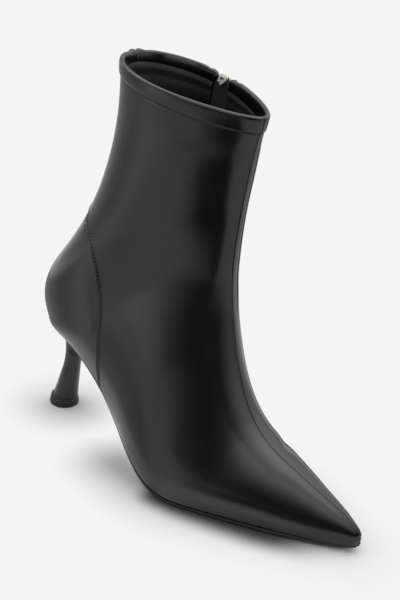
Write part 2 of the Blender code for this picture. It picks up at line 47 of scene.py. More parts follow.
# the last: sections in millimetres from the heel tip, toe first, then up the back seam to the rim
last = {
    "columns": "bottomX bottomZ topX topZ lateral medial feather wideAt ridge swing".split(),
    "foot": (
        (211.3, 5.2, 211.0, 9.5, 0.0, 0.0, 1.00, 0.30, 0.00, 5.0),
        (210.8, 5.0, 210.5, 11.5, 2.3, 2.1, 0.97, 0.30, 0.00, 5.0),
        (208.5, 4.8, 208.1, 14.0, 4.2, 4.2, 0.95, 0.28, 0.02, 4.9),
        (204.0, 4.4, 203.2, 17.0, 6.3, 6.9, 0.95, 0.25, 0.05, 4.6),
        (196.0, 4.0, 195.0, 21.0, 9.7, 11.9, 0.95, 0.22, 0.08, 3.8),
        (184.0, 3.6, 183.5, 26.0, 13.8, 18.5, 0.95, 0.20, 0.10, 2.4),
        (168.0, 3.1, 170.0, 32.0, 18.9, 25.9, 0.95, 0.20, 0.11, 1.0),
        (149.0, 2.7, 156.2, 38.0, 25.2, 31.9, 0.95, 0.20, 0.11, 0.0),
        (130.0, 2.5, 144.0, 46.5, 31.5, 35.2, 0.95, 0.18, 0.12, -0.5),
        (112.0, 2.5, 135.4, 57.5, 37.0, 35.5, 0.93, 0.19, 0.13, -0.8),
        (95.0, 6.0, 129.0, 70.0, 38.4, 34.2, 0.88, 0.23, 0.14, -0.8),
        (78.0, 18.0, 123.7, 84.0, 37.3, 32.8, 0.82, 0.29, 0.16, -0.8),
        (61.0, 36.0, 119.8, 98.0, 35.4, 32.0, 0.78, 0.35, 0.17, -0.8),
        (44.0, 49.5, 117.3, 110.0, 33.2, 31.9, 0.77, 0.39, 0.18, -0.8),
        (27.0, 56.3, 116.0, 120.5, 31.8, 31.8, 0.71, 0.42, 0.18, -0.8),
        (11.0, 58.0, 115.5, 129.0, 30.8, 31.6, 0.59, 0.44, 0.19, -0.8),
        (-1.0, 58.2, 115.5, 136.0, 30.0, 31.4, 0.42, 0.45, 0.19, -0.8),
        (-6.8, 58.1, 115.5, 142.0, 29.7, 31.2, 0.22, 0.46, 0.19, -0.8),
        (-8.5, 58.0, 115.6, 147.0, 29.7, 31.0, 0.00, 0.46, 0.20, -0.8),
    ),
    "shaft": (
        (-12.4, 68.0, 115.8, 152.0, 29.9, 30.7, 0.0, 0.46, 0.20, -0.8),
        (-12.2, 80.5, 116.1, 157.0, 30.3, 30.4, 0.0, 0.46, 0.21, -0.8),
        (-6.3, 94.0, 116.4, 162.0, 30.6, 30.3, 0.0, 0.46, 0.22, -0.9),
        (3.1, 107.5, 116.8, 167.0, 30.7, 30.2, 0.0, 0.46, 0.23, -1.0),
        (12.4, 121.0, 117.3, 172.0, 30.6, 30.1, 0.0, 0.45, 0.24, -1.1),
        (20.7, 135.0, 117.9, 177.0, 30.2, 29.9, 0.0, 0.44, 0.25, -1.3),
        (27.4, 150.0, 118.5, 182.0, 29.7, 29.5, 0.0, 0.44, 0.26, -1.5),
        (32.7, 166.0, 119.1, 187.0, 29.3, 29.1, 0.0, 0.44, 0.26, -1.8),
        (36.7, 183.0, 119.7, 192.0, 29.1, 28.7, 0.0, 0.44, 0.27, -2.1),
        (39.1, 202.0, 120.2, 196.6, 29.2, 28.5, 0.0, 0.43, 0.28, -2.4),
        (39.4, 219.3, 121.3, 203.0, 29.8, 28.6, 0.0, 0.43, 0.29, -2.8),
        (39.4, 226.0, 122.5, 211.0, 30.2, 28.8, 0.0, 0.43, 0.29, -3.0),
    ),
    "samples": 241,
    "denseRows": 1501,
    "cornerReach": 0.2,     # share of a section over which the heel's corner fades out
    "easeReach": 26.0,      # mm either side of the heel row where sections are averaged with others
    "easeWidth": 12.0,      # mm, with sections up to easeSteps of it away
    "easeSteps": 1.8,
    "easeCount": 11,
    "easeLeast": 0.01,      # share below which a section is left as it is
    "easeFrom": (0.1, 0.34),
    "inside": (90, 0, 80),  # a place inside the boot
}
sections = np.array(last["foot"] + last["shaft"])
heelRow = len(last["foot"]) - 1
rimRow = len(sections) - 1
bandRow = rimRow - 1
heelSwing = sections[heelRow][last["columns"].index("swing")]
tipForward = 1.1

# the last's own origin in the frame, from the middle of the heel tip
tipLow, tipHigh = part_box("heel_tip")
tipMiddle = (np.array(tipLow) + np.array(tipHigh)) / 2
lastOrigin = np.array([tipMiddle[0] - tipForward * mm, tipMiddle[1] - heelSwing * mm, 0.0])


def splineThrough(rows):
    count = len(rows)
    matrix = np.eye(count)
    right = np.zeros_like(rows)
    for i in range(1, count - 1):
        matrix[i, i - 1:i + 2] = (1, 4, 1)
        right[i] = 6 * (rows[i - 1] - 2 * rows[i] + rows[i + 1])
    bends = np.linalg.solve(matrix, right)

    def at(t):
        t = np.asarray(t, float)
        i = np.clip(np.floor(t).astype(int), 0, count - 2)
        b = (t - i)[..., None]
        a = 1 - b
        return a * rows[i] + b * rows[i + 1] + ((a ** 3 - a) * bends[i] + (b ** 3 - b) * bends[i + 1]) / 6

    return at


wholeSpline = splineThrough(sections)
footSpline = splineThrough(sections[:heelRow + 1])
shaftSpline = splineThrough(sections[heelRow:])


def eased(share):
    share = np.clip(share, 0, 1)
    return share * share * (3 - 2 * share)


def gauss(distance, width):
    return np.exp(-(distance / width) ** 2)


def unit(vectors):
    return vectors / np.maximum(np.linalg.norm(vectors, axis=-1, keepdims=True), 1e-12)


def sectionAt(t):
    t = np.atleast_1d(np.asarray(t, float))
    row = dict(zip(last["columns"], wholeSpline(t).T))
    foot = dict(zip(last["columns"], footSpline(np.minimum(t, heelRow)).T))
    shaft = dict(zip(last["columns"], shaftSpline(np.maximum(t - heelRow, 0)).T))
    onFoot = t < heelRow
    for name in ("bottomX", "bottomZ"):
        row[name.replace("bottom", "edge")] = np.where(onFoot, foot[name], shaft[name])
    row["feather"] = np.where(onFoot, np.clip(foot["feather"], 0, 1), 0)
    return row


def arcLengths(points):
    steps = np.linalg.norm(np.diff(points, axis=-2), axis=-1)
    return np.concatenate([np.zeros(steps.shape[:-1] + (1,)), np.cumsum(steps, axis=-1)], axis=-1)


denseRows = np.linspace(0, rimRow, last["denseRows"])
denseSections = sectionAt(denseRows)
bottomLine = np.stack([denseSections["bottomX"], denseSections["bottomZ"]], axis=1)
frontLine = np.stack([denseSections["topX"], denseSections["topZ"]], axis=1)
denseLengths = (arcLengths(bottomLine) + arcLengths(frontLine)) / 2     # from the toe
heelLength = np.interp(heelRow, denseRows, denseLengths)
heights = (1 - np.cos(np.linspace(0, math.pi, last["samples"]))) / 2     # shares up a section


def plainSection(t, side):  # points up one side of each section, lateral -1 or medial 1
    row = {name: values[:, None] for name, values in sectionAt(t).items()}
    widest = np.maximum(row["lateral" if side < 0 else "medial"], 0)
    s = heights[None]
    low = widest ** 2 * (1 - row["feather"] ** 2) / row["wideAt"] ** 2
    high = widest ** 2 / (1 - row["wideAt"]) ** 2
    width = np.sqrt(np.maximum(widest ** 2 - (s - row["wideAt"]) ** 2 * (low + (high - low) * eased(s)), 0))
    width = width * (1 - row["ridge"] * np.clip((s - row["wideAt"]) / (1 - row["wideAt"]), 0, 1) ** 2)
    corner = 1 - eased(s / last["cornerReach"])
    x = row["bottomX"] + s * (row["topX"] - row["bottomX"]) + corner * (row["edgeX"] - row["bottomX"])
    z = row["bottomZ"] + s * (row["topZ"] - row["bottomZ"]) + corner * (row["edgeZ"] - row["bottomZ"])
    return np.stack([x, row["swing"] + side * width, z], axis=-1)


def halfSection(t, side):  # the same, with the sections eased into each other where they turn at the heel
    t = np.atleast_1d(np.asarray(t, float))
    points = plainSection(t, side)
    lengths = np.interp(t, denseRows, denseLengths)
    share = gauss(lengths - heelLength, last["easeReach"])
    near = share > last["easeLeast"]
    if near.any():
        steps = np.linspace(-last["easeSteps"], last["easeSteps"], last["easeCount"])
        weights = gauss(steps, 1.0) / gauss(steps, 1.0).sum()
        rows = np.interp(lengths[near] + steps[:, None] * last["easeWidth"], denseLengths, denseRows)
        mean = sum(weight * plainSection(row, side) for weight, row in zip(weights, rows))
        low, high = last["easeFrom"]
        blend = share[near][:, None] * eased((heights - low) / (high - low))[None]
        points[near] += blend[..., None] * (mean - points[near])
    return points


def alongLine(points, arcs):
    lengths = arcLengths(points)
    return np.stack([np.interp(arcs, lengths, points[:, axis]) for axis in range(3)], axis=1)


def onLast(t, side, arcs):  # points at arc lengths up the sections, one row of arcs for each station
    halves = halfSection(t, side)
    return np.stack([alongLine(half, row) for half, row in zip(halves, arcs)])


def sideLengths(t):  # lengths of the sections' lateral and medial sides
    return [arcLengths(halfSection(t, side))[:, -1] for side in (-1, 1)]


def onRing(t, arcs):  # points at arc lengths round the sections, from the lateral edge over the front
    rings = np.concatenate([halfSection(t, -1), halfSection(t, 1)[:, ::-1][:, 1:]], axis=1)
    return np.stack([alongLine(ring, row) for ring, row in zip(rings, arcs)])


def toFrame(points):
    return np.asarray(points) * mm + lastOrigin


# seams in side view, upwards from the feather line as (x, z), and the zip's line of teeth
seams = {
    "lateral": (
        (55.6, 40.0), (55.2, 51.0), (55.1, 61.0), (55.4, 74.0), (55.0, 87.0), (53.5, 99.0),
        (51.2, 110.0), (47.4, 122.0), (41.4, 132.5), (32.6, 139.5), (21.0, 143.5),
    ),
    "medial": (
        (49.0, 45.5), (48.4, 54.0), (48.0, 64.0), (48.0, 75.0), (47.6, 87.0), (46.8, 99.0),
        (45.6, 110.0), (43.0, 122.0), (38.5, 132.5), (31.5, 139.5), (21.0, 143.5),
    ),
    "samples": 240,
    "counterRows": (11.5, 25.0),     # stations that the counter seam may cross
    "counterSamples": 700,
    "zipFoot": (61.5, 48.0),
    "zipHead": (77.5, 226.0),
    "zipEndRow": 12.5,
    "zipSlot": 8.0,
    "frontAside": (0.3, 2.6, 1.1),     # front seam beside the ridge: on the vamp, the shaft and the rim
    "frontRows": (11.5, 16.5, 25.5, 29.0),
}


def frontAside(t):  # how far the front seam lies to the lateral side
    vamp, shaft, rim = seams["frontAside"]
    rows = seams["frontRows"]
    up = eased((np.asarray(t) - rows[0]) / (rows[1] - rows[0]))
    over = eased((np.asarray(t) - rows[2]) / (rows[3] - rows[2]))
    return vamp + (shaft - vamp) * up + (rim - shaft) * over


def smoothLine(points, count):
    spline = splineThrough(np.array(points, float))
    return spline(np.linspace(0, len(points) - 1, count))


def sideLine(half):  # a section's straight line in side view: its middle and its upper half
    middle = half[len(half) // 2, ::2]
    return middle, half[-1, ::2] - middle


def counterArcs(t, side):  # arcs up the sections to the counter seam, and which sections cross it
    seam = smoothLine(seams["lateral" if side < 0 else "medial"], seams["samples"])
    halves = halfSection(t, side)
    arcs = np.zeros(len(halves))
    crosses = np.zeros(len(halves), bool)
    for i, half in enumerate(halves):
        middle, along = sideLine(half)
        off = (seam - middle) @ np.array([-along[1], along[0]])
        for k in np.flatnonzero(off[:-1] * off[1:] < 0):
            place = seam[k] + off[k] / (off[k] - off[k + 1]) * (seam[k + 1] - seam[k])
            if half[0, 0] < place[0] < half[-1, 0]:
                crosses[i] = True
                arcs[i] = np.interp(place[0], half[:, 0], arcLengths(half))
    return arcs, crosses


def zipArcs(t):  # arcs to the two edges of the zip's slot on the medial side
    halves = halfSection(np.maximum(np.atleast_1d(t), seams["zipEndRow"]), 1)
    foot = np.array(seams["zipFoot"])
    up = np.array(seams["zipHead"]) - foot
    edges = []
    for half in halves:
        start, along = sideLine(half)
        s = np.linalg.solve(np.stack([along, -up], axis=1), foot - start)[0]
        middle = np.interp(start[0] + s * along[0], half[:, 0], arcLengths(half))
        crossing = abs(along[0] * up[1] - along[1] * up[0])
        reach = seams["zipSlot"] / 2 * np.linalg.norm(along) * np.linalg.norm(up) / crossing
        edges.append((middle - reach, middle + reach))
    return np.array(edges).T


def rowsBetween(first, final, spacing):  # stations an even length apart
    ends = np.interp((first, final), denseRows, denseLengths)
    count = int((ends[1] - ends[0]) / spacing) + 1
    return np.interp(np.linspace(ends[0], ends[1], count), denseLengths, denseRows)


def belowRim(t):
    return denseLengths[-1] - np.interp(t, denseRows, denseLengths)


def spread(low, high, count, nearLow=(), nearHigh=(), most=0.7):  # set places near the ends, even between
    room = high - low
    reach = max(max(nearLow, default=0) + max(nearHigh, default=0), 1e-6)
    scale = min(1.0, most * room / reach)
    head = [low + scale * d for d in nearLow]
    tail = [high - scale * d for d in reversed(nearHigh)]
    start = head[-1] if head else low
    stop = tail[0] if tail else high
    between = np.linspace(start, stop, count - len(head) - len(tail) + 2)[1:-1]
    return np.concatenate([head, between, tail])


def pointNormals(points):  # outward normals of a grid: rows from toe to rim, columns round the boot
    down = np.gradient(points, axis=0)
    across = np.gradient(points, axis=1)
    return unit(np.cross(across, down))


# pieces: grids that are bent on to the last
def deselectAll():
    if bpy.context.object and bpy.context.object.mode != "OBJECT":
        bpy.ops.object.mode_set(mode="OBJECT")
    bpy.ops.object.select_all(action="DESELECT")


def selectOnly(piece):
    deselectAll()
    piece.select_set(True)
    bpy.context.view_layer.objects.active = piece


def gridPiece(name, points):  # a plane grid, moved on to the given points in the frame
    rows, columns = points.shape[:2]
    deselectAll()
    bpy.ops.mesh.primitive_grid_add(x_subdivisions=columns - 1, y_subdivisions=rows - 1, size=2)
    piece = bpy.context.object
    piece.name = piece.data.name = name
    flat = np.zeros(len(piece.data.vertices) * 3)
    piece.data.vertices.foreach_get("co", flat)
    flat = flat.reshape(-1, 3)
    across = np.rint((flat[:, 0] + 1) / 2 * (columns - 1)).astype(int)
    along = np.rint((flat[:, 1] + 1) / 2 * (rows - 1)).astype(int)
    piece.data.vertices.foreach_set("co", points[along, across].ravel())
    piece.data.update()
    return piece, along, across


def paint(piece, name, values):  # one number for each point of a piece, for its material to read
    attribute = piece.data.attributes.new(name, "FLOAT", "POINT")
    attribute.data.foreach_set("value", np.asarray(values, np.float32))


mergePoints = (bpy.ops.mesh.remove_doubles, {"threshold": 1e-6})
facesOut = (bpy.ops.mesh.normals_make_consistent, {"inside": False})


def editMesh(piece, *steps):  # runs edit-mode operators on the whole piece
    selectOnly(piece)
    bpy.ops.object.mode_set(mode="EDIT")
    for operator, values in steps:
        bpy.ops.mesh.select_all(action="SELECT")
        operator(**values)
    bpy.ops.object.mode_set(mode="OBJECT")


def cutFaces(piece, indices):
    selectOnly(piece)
    bpy.ops.object.mode_set(mode="EDIT")
    bpy.ops.mesh.select_mode(type="FACE")
    bpy.ops.mesh.select_all(action="DESELECT")
    bpy.ops.object.mode_set(mode="OBJECT")
    chosen = np.zeros(len(piece.data.polygons), bool)
    chosen[indices] = True
    piece.data.polygons.foreach_set("select", chosen)
    bpy.ops.object.mode_set(mode="EDIT")
    bpy.ops.mesh.delete(type="FACE")
    bpy.ops.mesh.select_mode(type="VERT")
    bpy.ops.object.mode_set(mode="OBJECT")


def applyModifier(piece, kind, **values):
    selectOnly(piece)
    modifier = piece.modifiers.new(kind.lower(), kind)
    for name, value in values.items():
        setattr(modifier, name, value)
    bpy.ops.object.modifier_apply(modifier=modifier.name)


def smoothShade(piece, angle):
    selectOnly(piece)
    bpy.ops.object.shade_smooth_by_angle(angle=math.radians(angle))


def faceOut(piece, centre):  # turns all faces over if they look at the centre
    normals = np.zeros(len(piece.data.polygons) * 3)
    middles = np.zeros(len(piece.data.polygons) * 3)
    piece.data.polygons.foreach_get("normal", normals)
    piece.data.polygons.foreach_get("center", middles)
    if np.sum(normals.reshape(-1, 3) * (middles.reshape(-1, 3) - centre)) < 0:
        editMesh(piece, (bpy.ops.mesh.flip_normals, {}))


def thickenWall(piece, thick, angle):
    editMesh(piece, mergePoints)
    faceOut(piece, toFrame(last["inside"]))
    applyModifier(piece, "SOLIDIFY", thickness=thick * mm, offset=-1.0, use_even_offset=False)
    smoothShade(piece, angle)


def finishPiece(piece, material, slot, *nodes, body="boot"):
    piece.data.materials.clear()
    piece.data.materials.append(material)
    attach(piece, body)
    if nodes:
        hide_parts(*nodes)
    print(piece.name, "has", sum(len(face.vertices) - 2 for face in piece.data.polygons), "triangles")


# shader maths as Python expressions
class Wire:
    def __init__(self, tree, output=None):
        self.tree = tree
        self.output = output

    def make(self, kind, settings=None, values=None, outlet=0):
        node = self.tree.nodes.new(kind)
        for name, value in (settings or {}).items():
            if name == "stops":
                while len(node.color_ramp.elements) < len(value):
                    node.color_ramp.elements.new(0.5)
                for element, (place, shade) in zip(node.color_ramp.elements, value):
                    element.position = place
                    element.color = (shade, shade, shade, 1)
            else:
                setattr(node, name, value)
        for name, value in (values or {}).items():
            if isinstance(value, Wire):
                self.tree.links.new(value.output, node.inputs[name])
            else:
                node.inputs[name].default_value = value
        return Wire(self.tree, node.outputs[outlet] if node.outputs else None)

    def maths(self, operation, first, second=0.0):
        return self.make("ShaderNodeMath", {"operation": operation}, {0: first, 1: second})

    def __add__(self, other):
        return self.maths("ADD", self, other)

    def __radd__(self, other):
        return self.maths("ADD", other, self)

    def __sub__(self, other):
        return self.maths("SUBTRACT", self, other)

    def __rsub__(self, other):
        return self.maths("SUBTRACT", other, self)

    def __mul__(self, other):
        return self.maths("MULTIPLY", self, other)

    def __rmul__(self, other):
        return self.maths("MULTIPLY", other, self)

    def feed(self, shader, socket):
        self.tree.links.new(self.output, shader.inputs[socket])


def newMaterial(name, values):
    material = bpy.data.materials.new(name)
    material.use_nodes = True
    shader = material.node_tree.nodes["Principled BSDF"]
    for socket, value in values.items():
        shader.inputs[socket].default_value = value
    return material, shader, Wire(material.node_tree)


def objectPlace(wire, scale):
    place = wire.make("ShaderNodeTexCoord", outlet="Object")
    return wire.make("ShaderNodeMapping", {}, {"Vector": place, "Scale": (scale, scale, scale)})


def rampUp(wire, value, low, high):  # 0 below low, 1 above high
    return wire.make(
        "ShaderNodeMapRange", {"interpolation_type": "SMOOTHSTEP"},
        {"Value": value, "From Min": low, "From Max": high, "To Min": 0.0, "To Max": 1.0},
    )


def noise(wire, place, scale, detail, **values):
    sockets = {"Vector": place, "Scale": scale, "Detail": detail, **values}
    return wire.make("ShaderNodeTexNoise", {}, sockets, "Fac")


def painted(wire, name):  # what paint() put on the piece
    return wire.make("ShaderNodeAttribute", {"attribute_name": name}, {}, "Fac")


def feedColours(wire, shader, share, first, second, socket="Base Color"):
    sockets = {0: share, 6: first, 7: second}
    wire.make("ShaderNodeMix", {"data_type": "RGBA"}, sockets, 2).feed(shader, socket)


def feedBump(wire, shader, height, strength=1.0):  # height in mm
    sockets = {"Strength": strength, "Distance": mm, "Height": height}
    wire.make("ShaderNodeBump", {}, sockets).feed(shader, "Normal")


leatherFinish = {
    "black": (0.0032, 0.0032, 0.0034, 1),
    # colour where the seam paint is full: seam lines and painted shade
    "seamShadeBlack": (0.0015, 0.0015, 0.0015, 1),
    "roughness": 0.2,
    "roughSpread": 0.06,    # in clouds
    "cloudScale": 0.11,     # in a mm
    "fineSpread": 0.05,     # in the grain
    "fineScale": 1.1,       # in a mm
    "fineShare": 0.5,       # the grain's height beside the pores'
    "seamRough": 0.35,
    "poreSize": 0.75,       # mm
    "poreDepth": 0.012,     # mm
    "poreSoft": 0.6,
    "poreStray": 0.9,
    "waveSize": 16.0,       # mm
    "waveDepth": 0.10,      # mm
    "bump": 0.8,
}


def leatherMaterial(name, finish, seamShadeName=None):
    material, shader, wire = newMaterial(name, {"Base Color": finish["black"], "IOR": 1.5})
    place = objectPlace(wire, 1 / mm)
    poreSockets = {
        "Vector": place, "Scale": 1 / finish["poreSize"],
        "Smoothness": finish["poreSoft"], "Randomness": finish["poreStray"],
    }
    pores = wire.make("ShaderNodeTexVoronoi", {"feature": "SMOOTH_F1"}, poreSockets, "Distance")
    fine = noise(wire, place, finish["fineScale"], 3.0)
    wave = noise(wire, place, 1 / finish["waveSize"], 2.0)
    cloud = noise(wire, place, finish["cloudScale"], 4.0)
    rough = finish["roughness"] + finish["roughSpread"] * (cloud - 0.5)
    rough = rough + finish["fineSpread"] * (fine - 0.5)
    height = pores * finish["poreDepth"] + wave * finish["waveDepth"]
    height = height + fine * (finish["fineShare"] * finish["poreDepth"])
    if seamShadeName:
        # the seam paint marks seam lines and painted shade, both darker and rougher
        seam = painted(wire, seamShadeName)
        rough = rough + finish["seamRough"] * seam
        feedColours(wire, shader, seam, finish["black"], finish["seamShadeBlack"])
    rough.feed(shader, "Roughness")
    feedBump(wire, shader, height, finish["bump"])
    return material


# upper: shaft, vamp and counter with their seams
upper = {
    "rowSpacing": 1.5,
    "underBand": (-0.5, 0.0, 0.25, 0.5, 0.8, 1.2, 1.8, 2.6),     # more rows below the band's foot
    "belowSeam": 20,
    "lateralAbove": 70,
    "slotBelow": 34,
    "slotAbove": 44,
    "leather": 1.1,
    "slotWiden": 0.0,
    "topRow": bandRow + 0.25,
    "edgeNear": (0.0, 0.3, 0.6, 1.0),
    "frontNear": (0.0, 0.18, 0.36, 0.6, 0.9, 1.3, 1.8, 2.5, 3.4),
    "seamNear": (0.0, 0.25, 0.5, 0.8, 1.15, 1.5, 1.85, 2.2, 2.6, 3.2),
    "slotNear": (0.0, 0.2, 0.5, 0.9, 1.5, 2.3, 3.2),
    "counterRest": 0.22,     # share of the half section where the seam's columns lie past its ends
    "counterEase": 2.5,
    "leastCounter": 2.5,
    "counterGap": 4.5,       # least way from the seam's columns to the zip's slot
    "slotEase": 4.5,         # stations below the zip over which its columns ease to their rest
    "slotRest": (0.45, 0.50),
    "rowGap": 0.05,
    # shade and edgeShade: strengths of the painted shade; dark: its half width where given
    "front": {
        "deep": 0.7, "half": 0.36, "dark": 0.3, "shade": 0.9, "lip": 0.3, "lipAt": 0.75, "lipSpread": 0.6,
        "underLip": 0.3, "lap": 0.25, "lapReach": 7.0,
    },
    "counter": {
        "wide": 2.5, "deep": 0.75, "start": 0.1, "ramp": 0.5, "shade": 0.8, "edge": 0.1, "edgeHalf": 0.28,
        "edgeAt": (0.15, 0.35), "edgeShade": 0.9, "lip": 0.25, "lipAt": 0.7, "lipSpread": 0.6,
        "lap": 0.3, "lapReach": 9.0,
    },
    "slot": {"deep": 0.65, "half": 0.55, "roll": 0.22, "rollAt": 1.6, "rollHalf": 1.0},
    "band": {"deep": 0.35, "half": 0.6, "shade": 0.9},
    "feather": {"deep": 0.3, "half": 0.6, "dark": 0.35, "shade": 0.7},
    "toe": {"rows": 3.2, "under": 0.7, "down": 0.9, "round": 0.5, "roundHigh": 2.0},
}


def counterColumns(t, side, total):  # arcs to the seam's columns, eased to a rest place past its ends
    arcs, crosses = counterArcs(t, side)
    first, final = t[crosses][0], t[crosses][-1]
    share = eased(np.maximum(first - t, t - final) / upper["counterEase"])
    held = np.maximum(arcs, upper["leastCounter"])
    return held * (1 - share) + upper["counterRest"] * total * share


def wallArcs(t, plan):  # arcs of a wall's columns up the lateral and medial sides, to the front seam
    totals = sideLengths(t)
    seamLateral = counterColumns(t, -1, totals[0])
    ends = totals[0] - frontAside(t), totals[1] + frontAside(t)
    slotLow, slotHigh = zipArcs(t)
    ease = eased((t - seams["zipEndRow"]) / upper["slotEase"] + 1)
    restLow, restHigh = upper["slotRest"]
    slotLow = ease * (slotLow - plan["slotWiden"]) + (1 - ease) * restLow * totals[1]
    slotHigh = ease * (slotHigh + plan["slotWiden"]) + (1 - ease) * restHigh * totals[1]
    seamMedial = np.minimum(counterColumns(t, 1, totals[1]), slotLow - upper["counterGap"])
    edge, seam, slot, front = (plan[name] for name in ("edgeNear", "seamNear", "slotNear", "frontNear"))
    lateral = []
    medial = []
    for i in range(len(t)):
        back = spread(0, seamLateral[i], plan["belowSeam"], edge, seam)
        side = spread(seamLateral[i], ends[0][i], plan["lateralAbove"], seam, front)
        lateral.append(np.concatenate([back, side[1:]]))
        back = spread(0, seamMedial[i], plan["belowSeam"], edge, seam)
        side = spread(seamMedial[i], slotLow[i], plan["slotBelow"], seam, slot)
        ahead = spread(slotHigh[i], ends[1][i], plan["slotAbove"], slot, front)
        medial.append(np.concatenate([back, side[1:], ahead]))
    return np.array(lateral), np.array(medial)


def wallGrid(t, lateralArcs, medialArcs):  # points and normals, lateral edge over the front to medial edge
    whole = sum(sideLengths(t))[:, None]
    points = onRing(t, np.concatenate([lateralArcs, (whole - medialArcs)[:, ::-1][:, 1:]], axis=1))
    normals = pointNormals(points)
    normals[t == 0] = (1, 0, 0)
    back = t >= heelRow
    normals[back, 0] = normals[back, -1] = unit(normals[back, 0] + normals[back, -1])
    return points, normals


def slotDistance(t, medialArcs):  # along the leather from the slot's nearer edge, front column first
    low, high = zipArcs(t)
    arcs = medialArcs[:, ::-1]
    return np.where(arcs >= high[:, None] - 1e-6, arcs - high[:, None], low[:, None] - arcs).clip(0)


def openSlot(piece, t, along, across, column):  # takes out the faces between the slot's two columns
    slotFaces = []
    for face in piece.data.polygons:
        corners = list(face.vertices)
        if across[corners].min() == column and t[along[corners].min()] >= seams["zipEndRow"]:
            slotFaces.append(face.index)
    cutFaces(piece, slotFaces)


def distanceTo(points, line, block=4000):  # from each point to the nearest of a line's, block by block
    starts = range(0, len(points), block)
    gaps = [np.linalg.norm(points[i:i + block, None] - line[None], axis=-1).min(axis=1) for i in starts]
    return np.concatenate(gaps)


def counterLine(side):  # the counter seam on the last, from the feather line up to the back seam
    t = np.linspace(*seams["counterRows"], seams["counterSamples"])
    arcs, crosses = counterArcs(t, side)
    return onLast(t[crosses], side, arcs[crosses][:, None])[:, 0]


# soft folds: a line on the boot, how wide and how deep, with a low ridge on either side
folds = (
    {"line": ((157, 13, 36), (149, 21, 32), (142, 27, 26)), "width": 3.5, "depth": 0.45},
    {"line": ((118, 20, 100), (104, 27, 92), (90, 32, 86)), "width": 8.0, "depth": 0.35},
    {"line": ((137, -20, 48), (126, -31, 36), (116, -38, 22)), "width": 11.0, "depth": 0.2},
)
foldShape = {"ridge": 0.35, "away": 1.9, "samples": 60}


def upperRows():  # even stations, with more of them under the collar band
    even = rowsBetween(0, upper["topRow"], upper["rowSpacing"])
    bandLength = np.interp(bandRow, denseRows, denseLengths)
    extra = np.interp(bandLength - np.array(upper["underBand"]), denseLengths, denseRows)
    low, high = extra.min() - upper["rowGap"], extra.max() + upper["rowGap"]
    return np.concatenate([even[even < low], np.sort(extra), even[even > high]])


